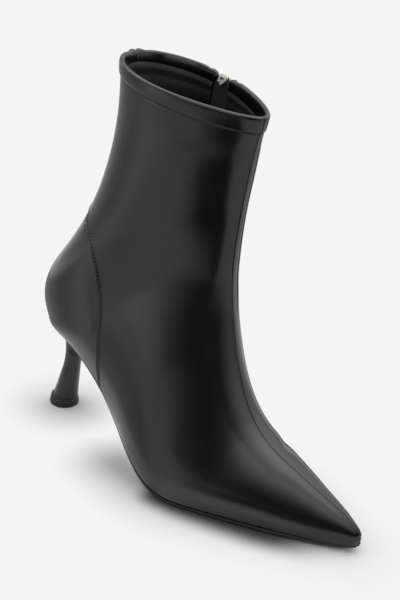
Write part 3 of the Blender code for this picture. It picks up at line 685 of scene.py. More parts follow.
def makeUpper(material):
    t = upperRows()
    lateralArcs, medialArcs = wallArcs(t, upper)
    points, normals = wallGrid(t, lateralArcs, medialArcs)
    ends = lateralArcs[:, -1:], medialArcs[:, -1:]
    fromFront = np.concatenate([ends[0] - lateralArcs, (ends[1] - medialArcs)[:, ::-1][:, 1:]], axis=1)
    fromEdge = np.concatenate([lateralArcs, medialArcs[:, ::-1][:, 1:]], axis=1)
    shape = points.shape[:2]
    flat = points.reshape(-1, 3)
    lateralCount = lateralArcs.shape[1]
    slotColumn = lateralCount + upper["slotAbove"] - 2

    # the closed seam down the front: a dark line of painted shade in its groove, and the lateral leather
    # lapped over it with a rolled edge
    seam = upper["front"]
    lapped = np.arange(shape[1])[None] < lateralCount - 1
    lip = seam["lip"] * gauss(fromFront - seam["lipAt"], seam["lipSpread"] * seam["lipAt"])
    lap = lip + seam["lap"] * np.exp(-fromFront / seam["lapReach"])
    out = np.where(lapped, lap, seam["underLip"] * lip) - seam["deep"] * gauss(fromFront, seam["half"])
    dark = seam["shade"] * gauss(fromFront, seam["dark"])

    # the lapped counter seam: a step, a trough with its two edges, and painted shade in the trough and
    # along the edges
    seam = upper["counter"]
    nearEdge, farEdge = seam["edgeAt"]
    for side, columns in ((-1, slice(0, lateralCount)), (1, slice(lateralCount, None))):
        part = points[:, columns].reshape(-1, 3)
        gap = distanceTo(part, counterLine(side)).reshape(shape[0], -1)
        arcs = lateralArcs if side < 0 else medialArcs[:, ::-1][:, 1:]
        crossing, crosses = counterArcs(t, side)
        above = np.where(crosses[:, None], arcs >= crossing[:, None] - 1e-6, True)
        signed = np.where(above, gap, -gap)
        trough = eased((signed + seam["wide"]) / seam["ramp"])
        trough = trough * (1 - eased((signed + seam["start"]) / seam["ramp"]))
        edges = gauss(signed + nearEdge, seam["edgeHalf"])
        edges = edges + gauss(signed + seam["wide"] - farEdge, seam["edgeHalf"])
        lip = seam["lip"] * gauss(gap - seam["lipAt"], seam["lipSpread"] * seam["lipAt"])
        lap = np.where(above, seam["lap"] * np.exp(-gap / seam["lapReach"]) + lip, 0)
        out[:, columns] += lap - seam["deep"] * trough - seam["edge"] * edges
        shade = seam["edgeShade"] * edges + seam["shade"] * trough
        dark[:, columns] = np.maximum(dark[:, columns], shade)

    # turned leather along the zip's slot
    seam = upper["slot"]
    slotArc = slotDistance(t, medialArcs)[:, 1:]
    roll = seam["roll"] * gauss(slotArc - seam["rollAt"], seam["rollHalf"])
    roll = roll - seam["deep"] * gauss(slotArc, seam["half"])
    out[:, lateralCount:] += np.where((t >= seams["zipEndRow"])[:, None], roll, 0)

    for fold in folds:
        gap = distanceTo(flat, smoothLine(fold["line"], foldShape["samples"])).reshape(shape)
        ridge = gauss(gap - foldShape["away"] * fold["width"], fold["width"])
        out += fold["depth"] * (foldShape["ridge"] * ridge - gauss(gap, fold["width"]))

    # the leather tucks under the collar band and in at the feather line, with painted shade at both, and
    # rolls under the toe
    seam = upper["band"]
    under = gauss(np.maximum(belowRim(t) - belowRim(bandRow), 0), seam["half"])[:, None]
    out -= seam["deep"] * under
    dark = np.maximum(dark, seam["shade"] * under)
    seam = upper["feather"]
    onFoot = (t < heelRow)[:, None]
    out -= np.where(onFoot, seam["deep"] * gauss(fromEdge, seam["half"]), 0)
    dark = np.maximum(dark, np.where(onFoot, seam["shade"] * gauss(fromEdge, seam["dark"]), 0))
    seam = upper["toe"]
    toe = (1 - eased(t / seam["rows"]))[:, None]
    out -= seam["round"] * toe * gauss(fromEdge, seam["roundHigh"])
    back = t >= heelRow
    out[back, 0] = out[back, -1] = (out[back, 0] + out[back, -1]) / 2
    placed = points + out[..., None] * normals
    for column in (0, -1):
        level = normals[:, column] * (1, 1, 0)
        placed[:, column] -= toe * (seam["under"] * level + seam["down"] * np.array([0, 0, 1]))
    piece, along, across = gridPiece("upperLeather", toFrame(placed))
    # seam paint: the seam lines, with painted shade in their grooves, under the band and at the feather
    # line
    paint(piece, "seam", np.clip(dark, 0, 1)[along, across])
    openSlot(piece, t, along, across, slotColumn)
    thickenWall(piece, upper["leather"], 50.0)
    finishPiece(piece, material, "upper_leather", "upper")


# closed pieces made of rings of points
def ringPiece(name, rings, values=None):  # rings one after another, each closed, with a cap at either end
    closed = np.concatenate([rings, rings[:, :1]], axis=1)
    caps = [np.broadcast_to(ring.mean(axis=0), (1,) + closed.shape[1:]) for ring in (rings[0], rings[-1])]
    grid = np.concatenate([caps[0], closed, caps[1]])
    piece, along, across = gridPiece(name, toFrame(grid))
    # values go on as the seam paint: seam lines and painted shade
    if values is not None:
        full = np.concatenate([values, values[:, :1]], axis=1)
        full = np.concatenate([full[:1], full, full[-1:]])
        paint(piece, "seam", full[along, across])
    editMesh(piece, mergePoints, facesOut)
    return piece


# lining: the inner wall, with the soft rolls of the facing under the collar
lining = {
    "rowSpacing": 2.6,
    "belowSeam": 9,
    "lateralAbove": 44,
    "slotBelow": 15,
    "slotAbove": 24,
    "slotWiden": 1.7,
    "edgeNear": (0.0,),
    "seamNear": (0.0,),
    "frontNear": (0.0, 1.0, 2.2),
    "slotNear": (0.0, 0.6, 1.4),
    "depth": 1.2,
    "thick": 0.8,
    "firstRow": 0.6,
    "lastRow": bandRow + 0.2,
    "finerDown": 40.0,       # below the rim, down to where rows lie twice as close
    "rolls": ((9.0, 1.7, 0.75), (14.2, 3.0, 0.5)),     # below the rim, half width, rise
    "edges": ((11.2, 0.6, 0.4),),
}


def makeLining(material):
    t = rowsBetween(lining["firstRow"], lining["lastRow"], lining["rowSpacing"])
    high = belowRim(t) < lining["finerDown"]
    t = np.sort(np.concatenate([t, (t[1:] + t[:-1])[high[1:]] / 2]))
    lateralArcs, medialArcs = wallArcs(t, lining)
    points, normals = wallGrid(t, lateralArcs, medialArcs)
    below = belowRim(t)
    inwards = np.full(len(t), lining["depth"])
    for place, width, rise in lining["rolls"]:
        inwards += rise * gauss(below - place, width)
    for place, width, drop in lining["edges"]:
        inwards -= drop * gauss(below - place, width)
    piece, along, across = gridPiece("liningWall", toFrame(points - inwards[:, None, None] * normals))
    openSlot(piece, t, along, across, lateralArcs.shape[1] + lining["slotAbove"] - 2)
    thickenWall(piece, lining["thick"], 60.0)
    finishPiece(piece, material, "insole_sock")


# collar band: turned leather swept round the rim, from one side of the zip to the other
collar = {
    "profile": (          # up from the band's foot, out from the last
        (-0.3, -0.9), (-0.1, -0.1), (0.06, 0.4), (0.35, 0.68), (1.4, 0.82), (3.6, 0.88), (5.8, 0.84),
        (6.7, 0.68), (7.12, 0.4), (7.33, 0.0), (7.4, -0.45), (7.32, -0.95), (7.05, -1.4), (6.5, -1.75),
        (5.2, -2.05), (3.4, -2.2), (1.6, -2.2), (0.4, -2.05), (-0.1, -1.6), (-0.3, -0.9),
    ),
    "height": 7.4,
    "around": 46,
    "columns": (56, 110, 40),
    "slotGap": 0.2,
    "endNear": (0.0, 0.06, 0.2, 0.45, 0.8, 1.2, 1.7),
    "seamNear": (0.0, 0.2, 0.4, 0.65, 0.95, 1.4, 2.0, 2.8, 3.8, 5.0),
    "endRound": 1.2,
    # at the front and back seams: groove depth, its half width, and the half width of the painted shade
    "front": {"groove": 0.5, "half": 0.42, "dark": 0.35},
    "back": {"groove": 0.9, "half": 0.6, "dark": 0.45},
    # strength of the painted shade, and its half width up from the band's foot
    "shade": 0.9,
    "footDark": 0.35,
    "proudFrom": -1.5,       # out from the last, from where and over how far the grooves come in
    "proudReach": 1.2,
    "backRoll": 0.6,
    "backRolls": ((1.0, 2.8, 1.9), (-0.6, 6.6, 2.6)),     # share, way from the back seam, half width
    "backRise": 0.8,
    "endDip": 0.9,
    "endDipReach": 5.0,
    "pucker": 0.5,
    "puckers": ((1.0, 3.0, 1.2), (-0.7, 5.4, 1.4)),       # share, way from the zip, half width
}


def aroundRim(t):  # points round each row from the zip's front edge, and arcs from front and back seam
    low, high = zipArcs(t)
    totals = sideLengths(t)
    whole = (totals[0] + totals[1])[:, None]
    ends = totals[0] - frontAside(t), totals[1] + frontAside(t)
    gap, (front, side, back) = collar["slotGap"], collar["columns"]
    seamNear, endNear = collar["seamNear"], collar["endNear"]
    frontArcs = np.array([spread(a + gap, b, front, endNear, seamNear) for a, b in zip(high, ends[1])])
    lateralArcs = np.array([spread(0, b, side, seamNear, seamNear) for b in ends[0]])[:, ::-1]
    backArcs = np.array([spread(0, a - gap, back, seamNear, endNear) for a in low])[:, 1:]
    points = np.concatenate([
        onRing(t, whole - frontArcs), onRing(t, lateralArcs)[:, 1:], onLast(t, 1, backArcs),
    ], axis=1)
    fromFront = np.concatenate([
        frontArcs[:, -1:] - frontArcs, (lateralArcs[:, :1] - lateralArcs)[:, 1:],
        lateralArcs[:, :1] + backArcs,
    ], axis=1)
    fromBack = np.concatenate([whole - frontArcs, lateralArcs[:, 1:], backArcs], axis=1)
    return points, fromFront, fromBack


def ripples(distance, waves):
    return sum(share * gauss(distance - place, half) for share, place, half in waves)


def makeCollar(material):
    t = np.array([bandRow, rimRow - 0.5, rimRow], float)
    points, fromFront, fromBack = aroundRim(t)
    foot, rim = points[0], points[2]
    rise = np.linalg.norm(rim - foot, axis=-1)
    up = unit(rim - foot)
    along = unit(np.gradient(points[1], axis=0))
    out = unit(np.cross(along, up))
    out *= np.sign(np.sum(out * (points[1] - points[1].mean(axis=0)), axis=-1))[:, None]
    outline = smoothLine(collar["profile"], collar["around"] + 1)[:-1]
    ends = arcLengths(points[1])
    fromEnd = np.minimum(ends, ends[-1] - ends)
    shrink = np.sqrt(1 - (1 - np.clip(fromEnd / collar["endRound"], 0, 1)) ** 2)
    middle = outline.mean(axis=0)
    shaped = middle + (outline[None] - middle) * np.maximum(shrink, 1e-3)[:, None, None]
    seamsHere = (fromFront[1], collar["front"]), (fromBack[1], collar["back"])
    proud = np.clip((shaped[..., 1] - collar["proudFrom"]) / collar["proudReach"], 0, 1)
    top = np.clip(shaped[..., 0] / collar["height"] * 2.0 - 1.0, 0, 1)     # upper half of the band
    groove = sum(seam["groove"] * gauss(way, seam["half"]) for way, seam in seamsHere)
    roll = collar["backRoll"] * ripples(fromBack[1], collar["backRolls"])
    roll = roll + collar["pucker"] * ripples(fromEnd, collar["puckers"])
    dip = collar["endDip"] * gauss(fromEnd, collar["endDipReach"])
    shaped[..., 1] += (roll - groove)[:, None] * proud
    shaped[..., 0] += (collar["backRise"] * roll - groove - dip)[:, None] * top
    scale = (rise / collar["height"])[:, None, None]
    rings = foot[:, None] + shaped[..., :1] * scale * up[:, None] + shaped[..., 1:] * out[:, None]
    # painted shade in the front and back grooves and up from the band's foot
    dark = sum(collar["shade"] * gauss(way, seam["dark"]) for way, seam in seamsHere)[:, None]
    footDark = collar["shade"] * gauss(np.maximum(shaped[..., 0], 0), collar["footDark"])
    piece = ringPiece("collarBand", rings, np.clip(np.maximum(dark, footDark), 0, 1))
    smoothShade(piece, 50.0)
    finishPiece(piece, material, "collar_leather", "collar_band")


# the zip: tape, coil, slider and pull
zipParts = {
    "tapeHalf": 5.3,
    "tapeSink": 1.2,
    "tapeThick": 0.5,
    "tapeStep": 1.0,
    "tapeFrom": 12.35,
    "tapeBelowRim": 5.5,
    "tapeColumns": 25,
    "tapeCrown": 0.12,        # rise of the tape's middle, and its half width
    "crownHalf": 2.2,
    "pathSamples": 240,
    "coilFrom": 12.6,
    "coilBelowSlider": 3.0,
    "coilAside": 0.55,
    "coilFlat": 0.9,
    "coilPitch": 1.15,
    "coilReach": 1.9,
    "coilRadius": 0.36,
    "coilSlant": 0.28,
    "stitchAcross": 3.1,
    "sliderBelowRim": 5.5,
    "faceSink": 0.6,          # the slider's own foot under the last
    "faceGap": 0.3,
}


def zipGrid(t, across):  # points and outward normals beside the teeth
    low, high = zipArcs(t)
    stretch = (high - low) / seams["zipSlot"]
    arcs = ((low + high) / 2)[:, None] + stretch[:, None] * np.asarray(across)[None]
    points = onLast(t, 1, arcs)
    normals = pointNormals(points)
    return points, normals * np.sign(normals[..., 1:2])


def zipRows(t, length):  # rows of the table that a length along the teeth spans
    ends = zipGrid(np.array([t, t + 1.0]), (-1.0, 0.0, 1.0))[0][:, 1]
    return length / np.linalg.norm(ends[1] - ends[0])


def zipFrame():  # turn and place of the slider, across, up and out
    t = rimRow - zipRows(bandRow, zipParts["sliderBelowRim"])
    step = 0.05
    points, normals = zipGrid(np.array([t - step, t, t + step]), (-0.5, 0.0, 0.5))
    out = normals[1, 1]
    up = points[2, 1] - points[0, 1]
    up = unit(up - out * (up @ out))
    across = np.cross(up, out)
    place = toFrame(points[1, 1] - zipParts["faceSink"] * out)
    turn = Matrix([Vector(axis) for axis in (across, up, out)]).transposed().to_4x4()
    return Matrix.Translation(Vector(place)) @ turn


def zipPath(first, final, pitch, across):  # even places along the zip: points, directions and normals
    t = np.linspace(first, final, zipParts["pathSamples"])
    points, normals = zipGrid(t, (across - 0.5, across, across + 0.5))
    lengths = arcLengths(points[:, 1])
    places = np.arange(pitch / 2, lengths[-1], pitch)
    line = alongLine(points[:, 1], places)
    runs = unit(np.gradient(line, axis=0))
    outs = unit(np.stack([np.interp(places, lengths, normals[:, 1, axis]) for axis in range(3)], axis=1))
    return line, runs, outs


def makeTape(material):
    end = rimRow - zipRows(bandRow, zipParts["tapeBelowRim"])
    t = rowsBetween(zipParts["tapeFrom"], end, zipParts["tapeStep"])
    across = np.linspace(-zipParts["tapeHalf"], zipParts["tapeHalf"], zipParts["tapeColumns"])
    points, normals = zipGrid(t, across)
    sink = zipParts["tapeSink"] - zipParts["tapeCrown"] * gauss(across, zipParts["crownHalf"])[None]
    piece, along, column = gridPiece("zipTape", toFrame(points - sink[..., None] * normals))
    faceOut(piece, toFrame((70, 0, 120)))
    applyModifier(piece, "SOLIDIFY", thickness=zipParts["tapeThick"] * mm, offset=-1.0)
    smoothShade(piece, 40.0)
    finishPiece(piece, material, "zip_tape_cloth", "zip_tape")


# small repeated shapes: one capsule, copied along a run as one mesh
def capsuleRun(name, centres, runs, outs, length, radius, flat=1.0):
    deselectAll()
    bpy.ops.mesh.primitive_uv_sphere_add(segments=8, ring_count=6, radius=1)
    seed = bpy.context.object
    shape = np.zeros(len(seed.data.vertices) * 3)
    seed.data.vertices.foreach_get("co", shape)
    shape = shape.reshape(-1, 3)
    faces = [tuple(face.vertices) for face in seed.data.polygons]
    bpy.data.objects.remove(seed)
    along = np.sign(np.round(shape[:, 2], 4)) * (length / 2 - radius) + radius * shape[:, 2]
    sides = unit(np.cross(outs, runs))
    points = centres[:, None] + along[None, :, None] * runs[:, None]
    points = points + radius * shape[None, :, :1] * sides[:, None]
    points = points + radius * flat * shape[None, :, 1:2] * outs[:, None]
    count = len(shape)
    allFaces = [tuple(v + i * count for v in face) for i in range(len(centres)) for face in faces]
    mesh = bpy.data.meshes.new(name)
    mesh.from_pydata(toFrame(points.reshape(-1, 3)).tolist(), [], allFaces)
    piece = bpy.data.objects.new(name, mesh)
    bpy.context.scene.collection.objects.link(piece)
    editMesh(piece, facesOut)
    smoothShade(piece, 60.0)
    return piece


def makeCoil(material):
    end = rimRow - zipRows(bandRow, zipParts["sliderBelowRim"] + zipParts["coilBelowSlider"])
    parts = []
    for side in (-1, 1):
        aside = side * zipParts["coilAside"] * zipParts["coilReach"]
        centres, runs, outs = zipPath(zipParts["coilFrom"], end, zipParts["coilPitch"], aside)
        across = unit(np.cross(runs, outs)) * side
        if side > 0:
            centres = centres + runs * zipParts["coilPitch"] / 2
        slant = unit(across + zipParts["coilSlant"] * runs)
        raised = centres - (zipParts["tapeSink"] - zipParts["coilRadius"]) * outs
        parts.append((raised, slant, outs))
    centres, runs, outs = (np.concatenate(group) for group in zip(*parts))
    reach, radius = zipParts["coilReach"], zipParts["coilRadius"]
    piece = capsuleRun("zipCoil", centres, runs, outs, reach, radius, zipParts["coilFlat"])
    finishPiece(piece, material, "zip_tape_cloth")


slider = {
    "plate": ((2.2, -4.5), (3.4, -2.2), (3.4, 2.8), (2.2, 4.5)),     # half width, up
    "plateThick": 1.4,
    "bevel": 0.28,
    "bridgeLength": 7.6,
    "bridgeWidth": 2.0,
    "bridgeBar": 1.2,
    "bridgeRoom": 1.8,
    "bridgeSink": 0.6,
    "bridgeCorner": 1.1,
    "bridgeBends": 7,
    "bridgeAround": 16,
    "bridgeSquare": 0.6,      # 1 for a round bar, less for a squarer one
    "inner": ((0.5, -0.9), (1.3, 0.1), (2.7, 2.4), (2.8, 4.0), (1.9, 5.2)),
    "innerThick": 1.2,
    "innerLean": 16.0,
    "innerDepth": 2.2,        # its middle, under the frame's own face
    "post": ((1.0, 1.4), (1.3, 2.6), (0.9, 3.9)),
    "postBevel": 0.1,
}

pull = {
    "outline": (              # half width, up from the pivot
        (0.9, -26.0), (2.2, -25.5), (2.5, -23.5), (2.5, -12.0), (2.0, -10.2), (2.2, -8.6), (2.7, -7.0),
        (2.7, -1.0), (2.3, 0.2), (1.2, 0.5),
    ),
    "window": ((0.7, -7.6), (1.6, -6.9), (1.6, -1.0), (1.4, -0.5)),
    "thick": 1.0,
    "bevel": 0.22,
    "pivotUp": -1.9,
}


def mirroredOutline(half, rounds):  # a closed outline from its right half, with its corners cut round
    outline = np.array(list(half) + [(-width, up) for width, up in reversed(half)], float)
    for step in range(rounds):
        after = np.roll(outline, -1, axis=0)
        cuts = [0.75 * outline + 0.25 * after, 0.25 * outline + 0.75 * after]
        outline = np.stack(cuts, axis=1).reshape(-1, 2)
    return outline


def platePiece(name, outlines, thick, bevel, place):  # a flat plate with rounded edges, from outlines in mm
    curve = bpy.data.curves.new(name, "CURVE")
    curve.dimensions = "2D"
    curve.fill_mode = "BOTH"
    curve.extrude = thick / 2 - bevel
    curve.bevel_depth = bevel
    curve.offset = -bevel
    curve.bevel_resolution = 2
    for outline in outlines:
        spline = curve.splines.new("POLY")
        spline.points.add(len(outline) - 1)
        for point, (x, y) in zip(spline.points, outline):
            point.co = (x, y, 0, 1)
        spline.use_cyclic_u = True
    plate = bpy.data.objects.new(name, curve)
    bpy.context.scene.collection.objects.link(plate)
    selectOnly(plate)
    bpy.ops.object.convert(target="MESH")
    plate = bpy.context.object
    plate.data.transform(place @ Matrix.Scale(mm, 4))
    editMesh(plate, mergePoints, facesOut)
    smoothShade(plate, 30.0)
    return plate


def makeSlider(material):
    frameTurn = zipFrame()
    top = zipParts["faceGap"] + slider["plateThick"]
    place = frameTurn @ Matrix.Translation((0, 0, (zipParts["faceGap"] + slider["plateThick"] / 2) * mm))
    outline = mirroredOutline(slider["plate"], 2)
    plate = platePiece("zipSlider", [outline], slider["plateThick"], slider["bevel"], place)
    depth = slider["innerDepth"]
    lean = Matrix.Rotation(math.radians(slider["innerLean"]), 4, "X")
    place = frameTurn @ (Matrix.Translation((0, 0, -depth * mm)) @ lean)
    outline = mirroredOutline(slider["inner"], 2)
    innerPlate = platePiece("zipInner", [outline], slider["innerThick"], slider["bevel"], place)
    reach = depth + zipParts["faceGap"]
    place = frameTurn @ Matrix.Translation((0, 0, (reach / 2 - depth) * mm))
    post = platePiece("zipPost", [mirroredOutline(slider["post"], 2)], reach, slider["postBevel"], place)
    half = (slider["bridgeLength"] - slider["bridgeBar"]) / 2
    rise = slider["bridgeRoom"] + slider["bridgeBar"] / 2
    foot = -slider["bridgeSink"]
    corner = slider["bridgeCorner"]
    bends = np.linspace(0, math.pi / 2, slider["bridgeBends"])
    arch = [(half, foot)] + [
        (half - corner + corner * math.cos(a), rise - corner + corner * math.sin(a)) for a in bends
    ]
    arch = np.array(arch + [(-up, out) for up, out in reversed(arch)])
    runs = unit(np.gradient(arch, axis=0))
    angles = np.linspace(0, 2 * math.pi, slider["bridgeAround"], endpoint=False)
    width, bar, square = slider["bridgeWidth"] / 2, slider["bridgeBar"] / 2, slider["bridgeSquare"]
    across = width * np.sign(np.cos(angles)) * np.abs(np.cos(angles)) ** square
    thick = bar * np.sign(np.sin(angles)) * np.abs(np.sin(angles)) ** square
    rings = np.zeros((len(arch), len(angles), 3))
    rings[..., 0] = across[None]
    rings[..., 1] = arch[:, :1] - thick[None] * runs[:, 1:]
    rings[..., 2] = top + arch[:, 1:] + thick[None] * runs[:, :1]
    placed = np.array([[frameTurn @ Vector(point * mm) for point in ring] for ring in rings])
    bridge = ringPiece("zipBridge", (placed - lastOrigin) / mm)
    smoothShade(bridge, 40.0)
    deselectAll()
    for part in (plate, innerPlate, post, bridge):
        part.select_set(True)
    bpy.context.view_layer.objects.active = plate
    bpy.ops.object.join()
    finishPiece(plate, material, "zip_slider_metal", "zip_slider")


def makePull(material):
    out = zipParts["faceGap"] + slider["plateThick"] + slider["bridgeRoom"] / 2
    place = zipFrame() @ Matrix.Translation(Vector((0, pull["pivotUp"], out)) * mm)
    outlines = [mirroredOutline(pull["outline"], 2), mirroredOutline(pull["window"], 2)]
    piece = platePiece("zipPull", outlines, pull["thick"], pull["bevel"], place)
    finishPiece(piece, material, "zip_pull_metal", "zip_pull", body="zip_pull")


# sole, insole and heel hang on the feather line, where upper and sole meet
footRows = np.linspace(heelRow, 0, 12 * heelRow + 1)
footEdge = sectionAt(footRows)


def featherZ(x):
    return np.interp(x, footEdge["edgeX"], footEdge["edgeZ"])


def belowFeather(x, depth):  # square to the feather line in side view
    slope = (featherZ(x + 1) - featherZ(x - 1)) / 2
    length = np.hypot(1, slope)
    return x + depth * slope / length, featherZ(x) - depth / length


def featherEdge(t, side, out):  # the feather line moved sideways, as x and y
    step = 0.02
    ends = [np.clip(t + d, 0, heelRow) for d in (-step, step)]
    feet = [halfSection(np.minimum(end, heelRow - 1e-6), side)[:, 0, :2] for end in ends]
    run = feet[1] - feet[0]
    normal = np.stack([run[:, 1], -run[:, 0]], axis=1)
    length = np.maximum(np.linalg.norm(normal, axis=1), 1e-9)
    normal *= (side * np.sign(normal[:, 1] + 1e-9) / length)[:, None]
    normal[t <= 0] = (1, 0)
    normal[t >= heelRow] = (-1, 0)
    return halfSection(np.minimum(t, heelRow - 1e-6), side)[:, 0, :2] + np.asarray(out)[..., None] * normal


def edgeRows(first, final, spacing, count=1200):  # stations an even length apart along the feather line
    t = np.linspace(first, final, count)
    line = np.concatenate([featherEdge(t, -1, np.zeros(len(t))), np.zeros((len(t), 1))], axis=1)
    lengths = arcLengths(line)
    return np.interp(np.linspace(0, lengths[-1], int(lengths[-1] / spacing) + 1), lengths, t)


def plyRings(t, outs, profile, most=0.48):  # sections of a layer: in from its edge, down from the line
    lateral = featherEdge(t, -1, outs)
    medial = featherEdge(t, 1, outs)
    width = np.linalg.norm(medial - lateral, axis=1)
    inward = (medial - lateral) / np.maximum(width, 1e-9)[:, None]
    rings = []
    for side, edge, order in ((1, lateral, profile), (-1, medial, profile[::-1])):
        for inset, depth in order:
            reach = np.minimum(inset, most * width)[:, None]
            place = edge + side * reach * inward
            x, z = belowFeather(place[:, 0], depth)
            rings.append(np.stack([x, place[:, 1], np.maximum(z, 0)], axis=1))
    return np.stack(rings, axis=1)


sole = {
    "spacing": 1.2,
    "edge": (              # in from the edge, down from the feather line
        (12.0, 0.3), (4.0, 0.3), (0.5, 0.3), (0.12, 0.4), (0.0, 0.65), (0.03, 1.0), (0.2, 1.15),
        (0.06, 1.3), (0.1, 1.7), (0.35, 2.2), (0.8, 2.6), (1.6, 2.8), (4.0, 2.8), (12.0, 2.8),
    ),
    "proud": 0.2,
    "toeTuck": 0.7,
    "toeFromX": 165.0,
    "toeLength": 30.0,
    "toeRound": 3.2,       # how far the sole's lower edge draws back at the very end, over how long a way
    "roundLength": 9.0,
    "tuck": 1.4,
    "tuckFromX": 105.0,
    "tuckLength": 35.0,
    "breastX": 24.0,
    "breastGap": 0.3,
}


def makeOutsole(material):
    end = np.interp(sole["breastX"] + sole["breastGap"], footEdge["edgeX"], footRows)
    t = edgeRows(0, end, sole["spacing"])
    x = sectionAt(t)["edgeX"]
    outs = sole["proud"] - sole["tuck"] * np.clip((sole["tuckFromX"] - x) / sole["tuckLength"], 0, 1)
    outs = outs - sole["toeTuck"] * np.clip((x - sole["toeFromX"]) / sole["toeLength"], 0, 1)
    rings = plyRings(t, outs, sole["edge"])
    toe = 1 - eased((rings[..., 0].max() - rings[..., 0]) / sole["roundLength"])
    down = (featherZ(rings[..., 0]) - rings[..., 2]) / sole["edge"][-1][1]
    rings[..., 0] -= sole["toeRound"] * toe * np.clip(down, 0, 1) ** 2
    piece = ringPiece("soleUnit", rings)
    smoothShade(piece, 45.0)
    finishPiece(piece, material, "outsole_black", "outsole")


insole = {
    "spacing": 2.0,
    "edge": (
        (14.0, -2.25), (8.0, -2.2), (3.0, -2.05), (1.0, -1.9), (0.3, -1.6), (0.0, -1.0), (0.1, 0.0),
        (14.0, 0.0),
    ),
    "inset": 2.6,
}


def makeInsole(material):
    t = edgeRows(0, heelRow, insole["spacing"])
    piece = ringPiece("insoleSock", plyRings(t, np.full(len(t), -insole["inset"]), insole["edge"]))
    smoothShade(piece, 50.0)
    finishPiece(piece, material, "insole_sock", "insole")


heel = {
    "sections": (          # height, forward, radius
        (6.3, 2.1, 7.6), (10.0, 2.7, 7.2), (16.0, 3.8, 6.5),
        (23.0, 5.1, 5.8), (30.0, 6.3, 5.2), (38.0, 7.4, 5.3),
    ),
    "stemLevels": 30,
    "cupLevels": 34,
    "flare": 3.0,
    "seatInset": 0.5,
    "seatGap": 0.3,
    "breastPoints": 22,
    "edgeSpacing": 1.0,
    "breastHollow": 1.4,
}


def makeHeel(material):
    breastRow = np.interp(sole["breastX"], footEdge["edgeX"], footRows)
    t = edgeRows(breastRow, heelRow, heel["edgeSpacing"])
    inset = np.full(len(t), -heel["seatInset"])
    lateral = featherEdge(t, -1, inset)
    medial = featherEdge(t, 1, inset)
    share = np.arange(1, heel["breastPoints"])[:, None] / heel["breastPoints"]
    breast = (1 - share) * medial[:1] + share * lateral[:1]
    outline = np.concatenate([lateral, medial[-2::-1], breast])
    hollow = np.concatenate([
        np.zeros(len(outline) - len(breast)), np.sin(math.pi * share[:, 0]) * heel["breastHollow"],
    ])
    seat = featherZ(outline[:, 0]) - heel["seatGap"]
    stem = np.array(heel["sections"])
    angles = np.arctan2(outline[:, 1] - heelSwing, outline[:, 0] - stem[-1, 1])
    rings = []
    for height, forward, radius in smoothLine(stem, heel["stemLevels"]):
        x = forward + radius * np.cos(angles)
        y = heelSwing + radius * np.sin(angles)
        rings.append(np.stack([x, y, np.full(len(x), height)], axis=1))
    neck = rings[-1]
    for level in range(1, heel["cupLevels"] + 1):
        up = level / heel["cupLevels"]
        spreadOut = up ** heel["flare"]
        x = neck[:, 0] + spreadOut * (outline[:, 0] - neck[:, 0]) - hollow * math.sin(math.pi * spreadOut)
        y = neck[:, 1] + spreadOut * (outline[:, 1] - neck[:, 1])
        rings.append(np.stack([x, y, neck[:, 2] + up * (seat - neck[:, 2])], axis=1))
    piece = ringPiece("heelCover", np.array(rings))
    smoothShade(piece, 45.0)
    finishPiece(piece, material, "heel_cover", "heel")


tip = {
    "profile": (           # radius, height
        (7.6, 0.0), (8.6, 0.0), (8.95, 0.25), (9.05, 0.7), (8.85, 2.0),
        (8.55, 3.6), (8.28, 5.0), (8.1, 5.6), (7.85, 5.9), (7.0, 6.0),
    ),
    "around": 72,
}


def aroundTip(radius, angles):  # a circle about the tip's middle, as x and y
    return np.stack([tipForward + radius * np.cos(angles), heelSwing + radius * np.sin(angles)], axis=1)


def makeTip(material):
    angles = np.linspace(0, 2 * math.pi, tip["around"], endpoint=False)
    rings = [np.insert(aroundTip(radius, angles), 2, height, axis=1) for radius, height in tip["profile"]]
    piece = ringPiece("heelTip", np.array(rings))
    smoothShade(piece, 35.0)
    finishPiece(piece, material, "heel_tip_rubber", "heel_tip")


# threads: slanted stitches in the counter seam, a line under the collar band, and the tape's two lines
threads = {
    "counter": {
        "pitch": 2.0, "length": 2.5, "radius": 0.34, "slant": 0.5, "inset": 1.25, "sink": 0.22,
        "endGap": 0.5,
    },
    "collar": {
        "pitch": 2.0, "length": 1.3, "radius": 0.19, "drop": 0.55, "sink": 0.15,
        "startGap": 1.2, "endGap": 1.0,
    },
    "tape": {"pitch": 1.8, "length": 1.3, "radius": 0.17, "endGap": 0.5, "rise": 0.08},
    "rowStep": 0.02,
    "normalRows": (10.5, 26.0, 240),     # where outward directions are taken for the counter's stitches
    "normalShares": (0.0, 0.75, 120),
}


def surfaceNormals(points, side):  # outward normals of the last nearest to some points
    t = np.linspace(*threads["normalRows"])
    share = np.linspace(*threads["normalShares"])
    totals = arcLengths(halfSection(t, side))[:, -1:]
    grid = onLast(t, side, totals * share[None])
    normals = pointNormals(grid)
    normals *= np.sign(normals[..., 1:2] * side)
    flat = grid.reshape(-1, 3)
    nearest = [int(np.argmin(np.sum((flat - point) ** 2, axis=1))) for point in points]
    return normals.reshape(-1, 3)[nearest]


